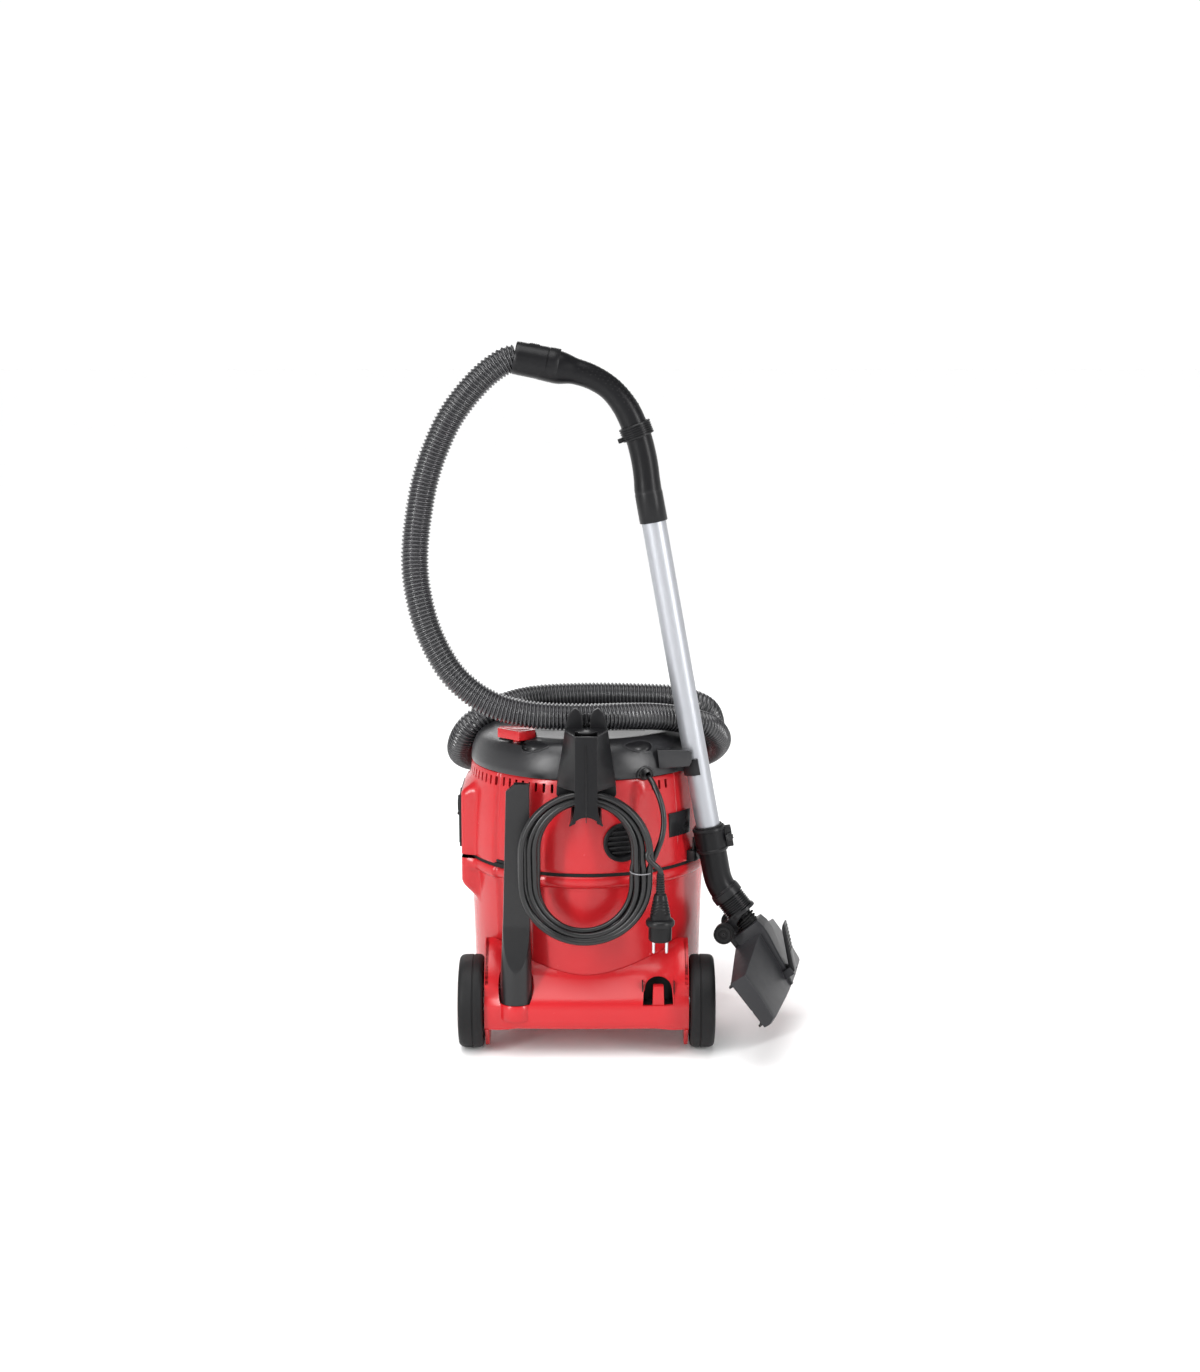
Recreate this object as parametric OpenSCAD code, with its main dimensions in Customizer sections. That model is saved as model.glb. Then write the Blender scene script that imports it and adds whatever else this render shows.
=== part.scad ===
// Wheeled shop vacuum: red tank on two rear wheels and two front casters, lift-off
// motor head with a dark cover, rear bracket with a coiled mains cord, a wand with a
// floor nozzle parked on the right, a suction hose and a crevice nozzle.
// +X right, +Y front of the machine, +Z up, floor at z = 0.

/* [Tank and head] */
// Outer radius of the tank at its rim
tank_r = 182; // [170:1:190]
// Height of the seam between tank and head
seam_z = 277; // [270:1:284]
// Height of the tank floor above the ground
tank_floor_z = 64; // [60:1:68]
// Wall thickness of the moulded shells
wall = 3.5; // [3:0.5:4]
// Height of the flat deck on the cover
deck_z = 474; // [470:1:476]

/* [Wheels] */
// Radius of a rear wheel
wheel_r = 70; // [66:1:72]
// Width of a rear wheel
wheel_w = 45; // [40:1:46]
// Distance from the machine axis to a wheel's outer face
wheel_out_x = 193; // [190:1:196]
// Radius of a front caster wheel
caster_r = 22; // [20:1:23]

/* [Wand and hose] */
// Outer radius of the silver tube
tube_r = 18; // [17:0.5:18]
// Outer radius of the suction hose
hose_r = 20.5; // [18:0.5:20.5]
// Width of the floor nozzle
nozzle_w = 300; // [260:10:310]

/* [Mains cord] */
// Diameter of the mains cord
cord_d = 8.4; // [7:0.1:9]
// Radius of the bundle of turns on the bracket
bundle_r = 13; // [11:0.5:13]

/* [Hidden] */
$fn = 96;
// Machine axis in the part's frame, which has its origin at the middle of the box
axis_x = -71;
axis_y = 46;
red = [0.80, 0.10, 0.11];
black = [0.08, 0.08, 0.09];
grey = [0.17, 0.17, 0.18];
silver = [0.72, 0.73, 0.75];

gap = 0.4;
head_z = seam_z + 3;
head_top_z = 418;
head_low_r = tank_r + 5;
head_top_r = 178;
axle_y = -140;
axle_r = 6;
fit = 0.06;

caster_x = 100;
caster_y = 115;
caster_trail = 18;
stem_r = 5;
caster_pin_r = 3;

button_pts = [[-133.5, -106], [-100.5, -136], [-76, -121], [-78, -90], [-130, -90]];
button_top_z = 482;
button_x = -104;
button_y = -108;

panel_x = -195;
latch_az = [40, 140];
latch_r = 196;
latch_pin_z = 301;
inlet_az = 63;
inlet_z = 322;
inlet_in_r = 23;

coil_pos = [-1, -216, 296];
coil_mean_r = 79;
coil_straight = 50;

wand_y = -115;
wand_top = [98.5, wand_y, 796];
bend = [199, wand_y, 247];
wand_tilt = atan((bend[0] - wand_top[0]) / (wand_top[2] - bend[2]));
nozzle_yaw = -12.4;
neck_drop = 51;
sole_from_bend = [67, 0, -142];
neck_axis_z = 37.3;
roller_x = -90;
roller_z = 6;

crevice_x = -105;
crevice_y = -188;

// Route of the suction hose from the inlet connector to the handle cuff
hose_route = [[111, 218, 322], [128, 252, 325], [152, 268, 342], [176, 250, 368],
    [190, 205, 395], [197, 158, 422], [199, 115, 450], [185, 88, 478],
    [145, 78, 495], [80, 80, 499], [0, 80, 500], [-80, 66, 498], [-135, 42, 488],
    [-176, 32, 466], [-197, 48, 436], [-200, 88, 405], [-172, 140, 384],
    [-115, 188, 372], [-40, 215, 366], [40, 216, 366], [110, 190, 371],
    [160, 143, 384], [192, 88, 408], [203, 34, 432], [201, -8, 452],
    [185, -42, 473], [150, -67, 488], [106, -91, 498], [57, -115, 503],
    [4, -131, 505], [-56, -134, 507], [-98, -134, 512], [-136, -133, 523], [-169, -131, 542],
    [-197, -129, 568], [-218, -127, 600], [-235, -125, 638], [-246, -123, 679],
    [-252, -120, 722], [-251, -118, 765], [-245, -117, 810], [-236, -116, 854],
    [-222, -115, 896], [-202, -115, 939], [-178, -115, 974], [-148, -115, 1006],
    [-120, -115, 1026], [-101, -115, 1032]];
// Route of the cord from its gland to the coil, and from the coil to the plug
lead_route = [[92, -176, 424], [99, -188, 414], [108, -198, 394], [113, -204, 370],
    [111, -209, 344], [102, -213, 318], [90, -215, 302], [84, -216, 286]];
tail_route = [[82, -224, 336], [86, -228, 323], [93, -230, 311], [103, -230, 302],
    [108, -227, 295], [108, -226, 284]];
// Route of the grip from the tube to the hose cuff
grip_route = [[90.5, wand_y, 838], [86, wand_y, 876], [79, wand_y, 908], [70, wand_y, 934],
    [56, wand_y, 962], [35, wand_y, 987], [8, wand_y, 1004], [-19, wand_y, 1013],
    [-50, wand_y, 1020], [-66, wand_y, 1024]];

// --- vectors and swept tubes ---------------------------------------------------
function unit(v) = v / norm(v);
function curve(a, b, c, d, t) = 0.5 * (2 * b + (c - a) * t
    + (2 * a - 5 * b + 4 * c - d) * t * t + (3 * b - a - 3 * c + d) * t * t * t);
function smooth(p, k) = concat([for (i = [0 : len(p) - 2], s = [0 : k - 1])
    curve(p[max(i - 1, 0)], p[i], p[i + 1], p[min(i + 2, len(p) - 1)], s / k)],
    [p[len(p) - 1]]);
function heading(p, i) = unit(p[min(i + 1, len(p) - 1)] - p[max(i - 1, 0)]);
function across(n, t) = unit(n - (n * t) * t);
function normals(p) = let (t0 = heading(p, 0), seed = abs(t0[2]) < 0.9 ? [0, 0, 1] : [1, 0, 0])
    [for (i = 0, n = across(seed, t0); i < len(p);
          i = i + 1, n = across(n, heading(p, min(i, len(p) - 1)))) n];
module swept(p, r, sides) {
    n = normals(p);
    rings = [for (i = [0 : len(p) - 1]) let (t = heading(p, i), b = cross(t, n[i]))
        for (j = [0 : sides - 1]) p[i] + r * (cos(360 * j / sides) * n[i]
            + sin(360 * j / sides) * b)];
    last = (len(p) - 1) * sides;
    walls = [for (i = [0 : len(p) - 2], j = [0 : sides - 1]) let (k = (j + 1) % sides)
        each [[i * sides + j, (i + 1) * sides + j, i * sides + k],
              [i * sides + k, (i + 1) * sides + j, (i + 1) * sides + k]]];
    caps = [[for (j = [0 : sides - 1]) j], [for (j = [0 : sides - 1]) last + sides - 1 - j]];
    polyhedron(points = rings, faces = concat(walls, caps));
}

// --- placing helpers -----------------------------------------------------------
module placed() { translate([axis_x, axis_y, 0]) children(); }
module both() { children(); mirror([1, 0, 0]) children(); }
module ring(r_out, r_in, h) { difference() {
    cylinder(r = r_out, h = h);
    translate([0, 0, -1]) cylinder(r = r_in, h = h + 2);
} }
// A frame on the machine's side: local +Z points out, local +Y up
module facing(az, r, z) { rotate([0, 0, az]) translate([r, 0, z]) rotate([0, 90, 0])
    rotate([0, 0, 90]) children(); }
module on_wand(z) { translate([wand_top[0] + (wand_top[2] - z) * tan(wand_tilt), wand_y, z])
    rotate([0, -wand_tilt, 0]) children(); }
module on_neck(s) { translate(bend) rotate([0, 0, nozzle_yaw])
    rotate([0, 90 + neck_drop, 0]) translate([0, 0, s]) children(); }
module on_nozzle() { translate(bend) rotate([0, 0, nozzle_yaw]) translate(sole_from_bend)
    rotate([0, neck_drop, 0]) children(); }

// --- tank and chassis ----------------------------------------------------------
module tank_body() difference() {
    rotate_extrude() polygon([[0, tank_floor_z], [158, tank_floor_z], [166, 70],
        [tank_r - 7, 107], [tank_r - 4, 204], [tank_r - 1, 258], [tank_r + 5, 262],
        [tank_r + 6, 267], [tank_r + 4, seam_z - 3], [0, seam_z - 3]]);
    difference() {
        rotate_extrude() polygon([[0, tank_floor_z + 4], [154, tank_floor_z + 4], [161, 73],
            [tank_r - 7 - wall, 107], [tank_r - 4 - wall, 204], [tank_r - 1 - wall, 258],
            [tank_r - 4, seam_z - 3], [tank_r - 4, seam_z], [0, seam_z]]);
        wheel_pockets(wall);
    }
    wheel_pockets(0);
}
// Hollows in the tank's sides that the wheels turn in
module wheel_pockets(grow) both() rotate([0, 90, 0])
    translate([-wheel_r, axle_y, wheel_out_x - wheel_w - 2 - grow])
        cylinder(r = wheel_r + 2.5 + grow, h = 60);
module tank_shell() placed() color(red) {
    difference() {
        union() {
            tank_body();
            // lower end of the side bulge
            difference() {
                translate([0, 72, 0]) rotate([90, 0, 0]) linear_extrude(144)
                    polygon([[-150, 205], [-179, 205], [-192, 236], [-192, 272], [-150, 272]]);
                translate([0, 0, 190]) cylinder(r = tank_r - 3.5, h = 100);
            }
            // moulded caster sockets under the floor
            both() translate([caster_x, caster_y, tank_floor_z - 5]) cylinder(r = 17, h = 6);
        }
        both() translate([caster_x, caster_y, tank_floor_z - 6])
            cylinder(r = stem_r + fit, h = 8.5);
    }
}
// Rear platform over the axle, with wheel cheeks, a socket peg and a parking recess
module chassis() placed() color(red) difference() {
    union() {
        rotate([90, 0, 90]) translate([0, 0, -146]) linear_extrude(292)
            polygon([[-118, 44], [-196, 44], [-203, 52], [-204, 78], [-198, 90], [-186, 101],
                     [-174, 122], [-150, 146], [-118, 150]]);
        // cheeks that rise over the wheels
        both() rotate([90, 0, 90]) translate([0, 0, 120]) linear_extrude(26)
            polygon([[-204, 60], [-198, 104], [-180, 146], [-150, 168], [-112, 160], [-100, 60]]);
        both() rotate([90, 0, 90]) translate([0, 0, 140]) linear_extrude(27)
            polygon([[-176, 144], [-150, 166], [-116, 160], [-112, 145]]);
        // lugs beside the wheels
        both() translate([136, -168, 8]) cube([9.5, 50, 60]);
        translate([crevice_x, crevice_y, 60]) cylinder(r = 27, h = 24);
    }
    translate([0, 0, 30]) cylinder(r = tank_r - 5, h = 160);
    both() rotate([0, 90, 0]) translate([-wheel_r, axle_y, 120]) cylinder(r = axle_r, h = 40);
    // hollow under the platform
    difference() {
        translate([-116, -192, 40]) cube([232, 60, 50]);
        translate([crevice_x, crevice_y, 39]) cylinder(r = 30, h = 60);
    }
    // seat around the crevice nozzle's peg
    translate([crevice_x, crevice_y, 84]) ring(28, 19.5, 100);
    translate([crevice_x, crevice_y, 106]) cylinder(r = 28, h = 90);
    // parking recess for the nozzle, with its tongue
    difference() {
        translate([80, -210, 88]) cube([46, 44, 60]);
        translate([98, -212, 80]) cube([10, 48, 26]);
    }
}
module stub_axles() placed() color(silver) both()
    rotate([0, 90, 0]) translate([-wheel_r, axle_y, 122]) {
        cylinder(r = axle_r, h = 69);
        translate([0, 0, 69]) cylinder(r = 9, h = 1.5);
    }
module wheel_tyre() rotate([0, 90, 0]) translate([-wheel_r, axle_y, wheel_out_x - wheel_w])
    rotate_extrude() polygon([[57, 3], [64, 0], [68, 2], [wheel_r, 6], [wheel_r, 39], [68, 43],
                              [64, 45], [57, 42]]);
module wheel_rim() rotate([0, 90, 0]) translate([-wheel_r, axle_y, wheel_out_x - wheel_w])
    difference() {
        rotate_extrude() polygon([[axle_r + fit, 2], [16, 2], [17, 16], [50, 16], [52, 5],
            [57, 5], [57, 40], [52, 40], [50, 24], [17, 24], [16, 42], [axle_r + fit, 42]]);
        for (a = [0 : 60 : 300]) rotate([0, 0, a]) translate([34, 0, 0]) cylinder(r = 9, h = 45);
    }
module left_tyre() placed() color(black) mirror([1, 0, 0]) wheel_tyre();
module right_tyre() placed() color(black) wheel_tyre();
module left_wheel_rim() placed() color(grey) mirror([1, 0, 0]) wheel_rim();
module right_wheel_rim() placed() color(grey) wheel_rim();
// Caster fork with its swivel stem and riveted wheel pin
module caster_fork() translate([caster_x, caster_y, 0]) {
    translate([0, 0, 50]) cylinder(r = stem_r, h = 16);
    translate([0, 0, 49]) cylinder(r = 15, h = 5);
    both() translate([11.5, 0, 0]) rotate([90, 0, 90]) linear_extrude(3)
        polygon([[-27, 17], [-10, 17], [14, 50], [14, 52], [-20, 52], [-27, 30]]);
    translate([-14, -14, 49]) cube([28, 28, 3]);
    translate([-14.5, -caster_trail, caster_r]) rotate([0, 90, 0])
        cylinder(r = caster_pin_r, h = 29);
}
module caster_wheel() translate([caster_x, caster_y - caster_trail, caster_r])
    rotate([0, 90, 0]) translate([0, 0, -10.5]) rotate_extrude()
        polygon([[caster_pin_r + fit, 0], [8, 0], [9, 3], [17, 3], [18, 1], [20, 1],
                 [caster_r, 4], [caster_r, 17], [20, 20], [18, 20], [17, 18], [9, 18],
                 [8, 21], [caster_pin_r + fit, 21]]);
module left_caster_fork() placed() color(grey) mirror([1, 0, 0]) caster_fork();
module right_caster_fork() placed() color(grey) caster_fork();
module left_caster_wheel() placed() color(black) mirror([1, 0, 0]) caster_wheel();
module right_caster_wheel() placed() color(black) caster_wheel();

// --- head ----------------------------------------------------------------------
function head_side() = [[head_low_r, head_z], [head_low_r, 300], [185, 345], [181, 395],
    [head_top_r, head_top_z]];
module head_shell() placed() color(red) difference() {
    union() {
        rotate_extrude() polygon(concat(head_side(), [[0, head_top_z], [0, head_top_z - 4],
            [head_top_r - wall, head_top_z - 4], [181 - wall, 395], [185 - wall, 345],
            [head_low_r - wall, 300], [head_low_r - wall, head_z]]));
        translate([0, -182, 0]) rotate([90, 0, 0]) translate([0, 335, -6]) cylinder(r = 20, h = 8);
    }
    // vent slots around the rear of the shell
    for (a = [-172 : 4.1 : -102]) rotate([0, 0, a]) translate([168, -2, 400]) cube([20, 4, 12]);
    for (a = [-82, -78, -56, -52, -48]) rotate([0, 0, a]) translate([168, -2, 400])
        cube([20, 4, 12]);
    facing(-73.5, 150, 326) cylinder(r = 26, h = 60);
    facing(inlet_az, 150, inlet_z) cylinder(r = 27.2, h = 60);
    // window that the pod closes
    translate([-200, -62, 288]) cube([60, 124, 88]);
    translate([button_x, button_y, 400]) cylinder(r = 6.5, h = 30);
}
// Flat-sided pod that carries the controls
module control_pod() placed() color(red) difference() {
    union() {
        difference() {
            translate([0, 72, 0]) rotate([90, 0, 0]) linear_extrude(144)
                polygon([[-150, head_z], [-192, head_z], [-192, 372], [-180, 392], [-150, 392]]);
            rotate_extrude() polygon(concat([[0, head_z - 1], [head_low_r, head_z - 1]],
                head_side(), [[0, head_top_z]]));
        }
        translate([-188, -61.8, 288.2]) cube([10, 123.6, 87.6]);
    }
    translate([-200, 0, 312]) rotate([0, 90, 0]) cylinder(r = 21.2, h = 40);
}
module head_base() placed() color(black) {
    translate([0, 0, head_z + 1]) difference() {
        cylinder(r = head_low_r - wall, h = 5);
        translate([0, 0, -1]) cylinder(r = 38, h = 7);
    }
}
module rim_seal() placed() color(black) translate([0, 0, seam_z - 2.6])
    difference() {
        union() {
            ring(tank_r + 3, tank_r - 4, 5.6);
            translate([0, 0, 2.6]) ring(tank_r + 3, tank_r - 10, 4);
        }
        translate([0, 0, 6.6]) cylinder(r = 200, h = 2);
    }
module top_cover() placed() color(grey) difference() {
    rotate_extrude() polygon([[head_top_r, head_top_z + 0.5], [head_top_r + 0.5, 432],
        [175, 446], [167, 457], [154, 466], [138, deck_z - 2], [125, deck_z], [0, deck_z],
        [0, deck_z - wall], [124, deck_z - wall], [136, deck_z - 2 - wall], [151, 463],
        [163, 454], [171, 444], [174, 431], [174, head_top_z + 0.5]]);
    // well for the filter-cleaning button
    translate([0, 0, 430]) linear_extrude(60) offset(delta = 1.2) polygon(button_pts);
    // two grooves along the deck and two finger recesses at its rear edge
    for (x = [-69, 34], y = [-78, -62]) translate([x, y, deck_z - 1.2]) cube([54, 2.5, 3]);
    both() translate([75, -138, 461]) rotate([0, 0, -14]) difference() {
        cylinder(r = 23, h = 20);
        translate([-30, 6, -1]) cube([60, 40, 22]);
        translate([-30, -60, -1]) cube([60, 44, 22]);
    }
    // arch for the cable gland
    facing(-61, 160, 421) cylinder(r = 12.2, h = 30);
}
module cover_screws() placed() color(silver) for (a = [35, 145, 215, 325])
    rotate([0, 0, a]) translate([112, 0, head_top_z]) {
        cylinder(r = 4, h = 3);
        translate([0, 0, -14]) cylinder(r = 2, h = 14.5);
    }
// Bracket on the rear: two prongs that keep the hose, a channel and hooks for the cord
module rear_bracket() placed() color(black) {
    // wings
    both() rotate([90, 0, 0]) translate([0, 0, 186]) linear_extrude(10)
        polygon([[14, 489], [31, 489], [36, 380], [30, 366], [20, 360], [14, 368]]);
    translate([-15, -196, 422]) cube([30, 10, 67]);
    translate([-30, -188, 424]) cube([60, 12, 20]);
    // top block, middle panel with its arched foot, and the rib on it
    translate([-16, -240, 434]) cube([32, 46, 54]);
    rotate([90, 0, 0]) translate([0, 0, 234]) linear_extrude(5) difference() {
        polygon([[-16, 489], [16, 489], [15, 362], [-15, 362]]);
        translate([0, 354]) circle(r = 14);
    }
    translate([-0.8, -241.5, 368]) cube([1.6, 6, 108]);
    // arms from the wings that the turns lie on
    both() translate([15, -234, 362]) cube([10, 40, 7]);
    both() translate([15, -234, 362]) cube([10, 4, 14]);
    // prongs
    both() rotate([90, 0, 0]) translate([0, 0, 158]) linear_extrude(10)
        polygon([[5, 480], [29, 480], [26, 512], [17, 525], [9, 520], [5, 500]]);
    translate([-29, -196, 476]) cube([58, 38, 12]);
}
module cable_gland() placed() color(black) facing(-61, 166, 425) difference() {
    union() {
        ring(12, cord_d / 2, 12);
        translate([0, 0, 10]) ring(8, cord_d / 2, 12);
    }
}
module control_panel() placed() color(black) difference() {
    translate([panel_x, -62, 290]) cube([3, 124, 80]);
    translate([panel_x - 1, 0, 312]) rotate([0, 90, 0]) cylinder(r = 21.2, h = 6);
    for (y = [-28, 28]) translate([panel_x - 1, y, 350]) rotate([0, 90, 0])
        cylinder(r = 4.1, h = 6);
}
module socket_insert() placed() color(black) translate([panel_x, 0, 312]) rotate([0, 90, 0])
    difference() {
        cylinder(r = 21, h = 26);
        translate([0, 0, -1]) cylinder(r = 18.5, h = 19);
        for (y = [-9.5, 9.5]) translate([0, y, 10]) cylinder(r = 2.5, h = 30);
    }
module rating_plate() placed() color(black) intersection() {
    translate([0, 0, 323]) ring(187.5, 185.2, 37);
    rotate([0, 0, -41]) translate([150, -24, 300]) cube([60, 48, 80]);
}
module exhaust_grille() placed() color(black) facing(-73.5, 172, 326) {
    ring(25.8, 22, 14);
    translate([0, 0, 14]) ring(29.5, 22, 4);
    for (y = [-15, -7.5, 0, 7.5, 15]) translate([-22, y - 1.2, 10]) cube([44, 2.4, 5]);
    translate([0, 0, 8]) ring(23, 21, 6);
}
// Sprung fork on the cover that the tube lies in
module wand_clip() placed() color(grey) difference() {
    union() {
        on_wand(430) translate([0, 0, -12]) cylinder(r = tube_r + 4, h = 24);
        translate([112, -118, 420]) cube([50, 28, 22]);
    }
    translate([0, 0, 400]) cylinder(r = 175.5, h = 60);
    on_wand(430) translate([0, 0, -40]) cylinder(r = tube_r + gap, h = 80);
    on_wand(430) translate([2, -40, -40]) cube([60, 80, 80]);
}
// Pocket on the head that the clamp ring's hook drops into
module wand_dock() placed() color(black) difference() {
    rotate([0, 0, -32]) translate([180, -14, 281]) cube([20, 28, 15]);
    translate([0, 0, 270]) cylinder(r = head_low_r, h = 60);
    rotate([0, 0, -32]) translate([188.6, -9.5, 284]) cube([8, 19, 20]);
    on_wand(300) translate([0, 0, -40]) cylinder(r = 24.8, h = 80);
}
module hose_inlet() placed() color(black) facing(inlet_az, 168, inlet_z) {
    ring(27, inlet_in_r + fit, 30);
    translate([0, 0, 18]) ring(33, inlet_in_r + fit, 4);
}
module hose_connector() placed() color(black) facing(inlet_az, 172, inlet_z) {
    ring(inlet_in_r, 19, 74);
    translate([0, 0, 32]) ring(26, 19, 41);
}
module motor_housing() placed() color(grey) translate([0, 0, 298]) difference() {
    union() {
        cylinder(r = 72, h = 80);
        cylinder(r = 52, h = 108);
    }
    translate([0, 0, 4]) cylinder(r = 68, h = 28);
    translate([0, 0, 30]) cylinder(r = 46, h = 72);
    translate([0, 0, -1]) cylinder(r = 26, h = 8);
    translate([0, 0, 90]) cylinder(r = 4 + fit, h = 17);
}
module rotor() placed() color(silver) translate([0, 0, 304]) {
    cylinder(r = 62, h = 3);
    for (a = [0 : 40 : 320]) rotate([0, 0, a]) translate([24, -1, 2]) cube([36, 2, 12]);
    translate([0, 0, 13]) ring(62, 22, 3);
    cylinder(r = 4, h = 100);
    translate([0, 0, 34]) cylinder(r = 32, h = 44);
}
module filter_cage() placed() color(black) translate([0, 0, 184]) difference() {
    union() {
        ring(40, 37, head_z - 183.5);
        cylinder(r = 40, h = 3);
        translate([0, 0, 93]) ring(50, 37, 3.5);
    }
    for (a = [0 : 30 : 330], z = [12, 52]) rotate([0, 0, a]) translate([30, -4, z])
        cube([14, 8, 32]);
}
module filter_cartridge() placed() color([0.86, 0.85, 0.80]) translate([0, 0, 160]) {
    difference() {
        linear_extrude(114) polygon([for (i = [0 : 47]) (i % 2 == 0 ? 70 : 58)
            * [cos(i * 7.5), sin(i * 7.5)]]);
        translate([0, 0, 5]) cylinder(r = 52, h = 120);
    }
    cylinder(r = 72, h = 6);
    translate([0, 0, 108]) ring(74, 52, 8);
}
module float_ball() placed() color(silver) translate([0, 0, 212]) sphere(r = 24);
module latch_frame(az) { rotate([0, 0, az]) translate([latch_r, 0, latch_pin_z])
    rotate([90, 0, 0]) children(); }
module latch_hinges() placed() color(black) for (az = latch_az) latch_frame(az) {
    for (z = [-22, 18]) translate([0, 0, z]) linear_extrude(4)
        polygon([[-12, -10], [3, -5], [5, 0], [3, 5], [-12, 10]]);
    translate([0, 0, -22]) cylinder(r = 2.5, h = 44);
}
module latch(az) placed() color(black) latch_frame(az) translate([0, 0, -17]) difference() {
    linear_extrude(34) polygon([[-3, 5], [3, 6], [6, 2], [7, -30], [10, -52], [6, -54],
        [1, -36], [-4.5, -32], [-4.5, -26], [-3.5, -6]]);
    translate([0, 0, -1]) cylinder(r = 2.5 + fit, h = 36);
}
module left_latch() latch(latch_az[1]);
module right_latch() latch(latch_az[0]);

// --- controls ------------------------------------------------------------------
module knob(y, r) translate([panel_x, y, 350]) rotate([0, -90, 0]) difference() {
    union() {
        translate([0, 0, 0.4]) cylinder(r = r, h = 3.6);
        translate([0, 0, -2.7]) cylinder(r = 4, h = 3.7);
    }
    translate([r - 6, -1, 3]) cube([5, 2, 3]);
}
module selector_knob() placed() color(grey) knob(-28, 13);
module power_dial() placed() color(grey) knob(28, 12);
module socket_lid() placed() color(grey) {
    translate([panel_x - 3.4, -24, 287]) cube([3, 48, 46]);
    translate([panel_x - 3.2, -24, 333]) rotate([-90, 0, 0]) cylinder(r = 2.6, h = 48);
}
module clean_button() placed() color(red) {
    translate([0, 0, 466]) linear_extrude(button_top_z - 466) polygon(button_pts);
    translate([button_x, button_y, 404]) cylinder(r = 6, h = 63);
}
module button_spring() placed() color(silver) translate([button_x, button_y, 0])
    swept([for (i = [0 : 84]) [8.6 * cos(i * 30), 8.6 * sin(i * 30), 420.2 + i * 0.53]], 0.9, 6);

// --- mains cord ----------------------------------------------------------------
module power_lead() placed() color(black) swept(smooth(lead_route, 2), cord_d / 2, 10);
module power_tail() placed() color(black) swept(smooth(tail_route, 2), cord_d / 2, 10);
module power_coil() placed() color(black) translate(coil_pos) rotate([90, 0, 0]) both() {
    for (s = [0, 180]) rotate([0, 0, s]) translate([0, coil_straight / 2, 0])
        rotate_extrude(angle = 90) translate([coil_mean_r, 0]) circle(r = bundle_r);
    for (s = [0, 180]) rotate([0, 0, s]) translate([coil_mean_r, -coil_straight / 2, 0])
        rotate([-90, 0, 0]) cylinder(r = bundle_r, h = coil_straight);
}
module cord_tie() placed() color([0.8, 0.8, 0.8]) translate(coil_pos)
    translate([coil_mean_r, 0, -4]) ring(bundle_r + 1.4, bundle_r + 0.1, 4);
module mains_plug() placed() color(black) translate([108, -226, 0]) {
    translate([0, 0, 262]) ring(6.5, cord_d / 2, 30);
    translate([0, 0, 224]) cylinder(r1 = 15, r2 = 9, h = 38);
    translate([0, 0, 214]) cylinder(r = 19.5, h = 10);
    translate([0, 0, 190]) cylinder(r = 17, h = 24);
    for (x = [-9.5, 9.5]) translate([x, 0, 171]) cylinder(r = 2.4, h = 20);
}

// --- hose, wand and handle -----------------------------------------------------
module suction_hose() placed() color(grey) swept(hose_route, hose_r, 12);
module wand_tube() placed() color(silver) on_wand(300) ring(tube_r, tube_r - 1.5, 540);
module handle_grip() placed() color(black) {
    on_wand(796) ring(tube_r + 2.5, tube_r, 44);
    swept(smooth(grip_route, 2), tube_r + 0.5, 16);
    on_grip_ring() translate([0, 0, -14]) cylinder(r = 19.2, h = 28);
}
module on_grip_ring() { translate([73, wand_y, 926.6]) rotate([0, -21, 0]) children(); }
module relief_ring() placed() color(black) on_grip_ring() {
    difference() {
        translate([0, 0, -10]) ring(24, 19.6, 20);
        translate([-4, -30, -5]) cube([8, 12, 10]);
    }
    translate([-31, -3, -9]) cube([9, 6, 7]);
}
module on_cuff() { translate([-57, wand_y, 1023]) rotate([0, -79, 0]) children(); }
module hose_cuff() placed() color(black) difference() {
    on_cuff() difference() {
        union() {
            translate([0, 0, -12]) ring(23, 19.4, 60);
            translate([0, 0, -16]) ring(25.5, 19.4, 14);
        }
        translate([18, -6.5, 13.5]) cube([10, 13, 17]);
    }
    // slanted end that the hose butts against
    translate([-100.3, wand_y, 1032.2]) rotate([0, -107.5, 0]) translate([-40, -40, 0])
        cube([80, 80, 40]);
}
module cuff_button() placed() color(grey) on_cuff() intersection() {
    translate([20, -6, 14]) cube([8, 12, 16]);
    translate([0, 0, 10]) ring(26, 23.4, 24);
}
module clamp_ring() placed() color(black) {
    on_wand(316) {
        translate([0, 0, -18]) ring(24, 21.1, 36);
        translate([21.5, -6, -14]) cube([12, 12, 26]);
    }
    // hook that hangs in the dock
    rotate([0, 0, -32]) translate([193, -8, 287]) cube([3, 16, 29]);
    difference() {
        rotate([0, 0, -32]) translate([193, -8, 309]) cube([20, 16, 7]);
        on_wand(300) translate([0, 0, -40]) cylinder(r = 21.1, h = 80);
    }
}
module clamp_screw() placed() color(silver) on_wand(316) translate([29, 0, 0])
    rotate([90, 0, 0]) {
        translate([0, 0, 6.2]) cylinder(r = 5, h = 4);
        translate([0, 0, -12]) cylinder(r = 2, h = 18.4);
    }
module neck_elbow() placed() color(black) difference() {
    union() {
        on_wand(bend[2]) cylinder(r = 21, h = 92);
        translate(bend) sphere(r = 21);
        on_neck(0) cylinder(r = 21, h = 14);
    }
    on_wand(bend[2]) cylinder(r = tube_r - 1.5, h = 140);
    on_wand(299.5) cylinder(r = tube_r, h = 100);
    translate(bend) sphere(r = tube_r - 1.5);
    on_neck(0) cylinder(r = tube_r - 1.5, h = 40);
}

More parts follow.
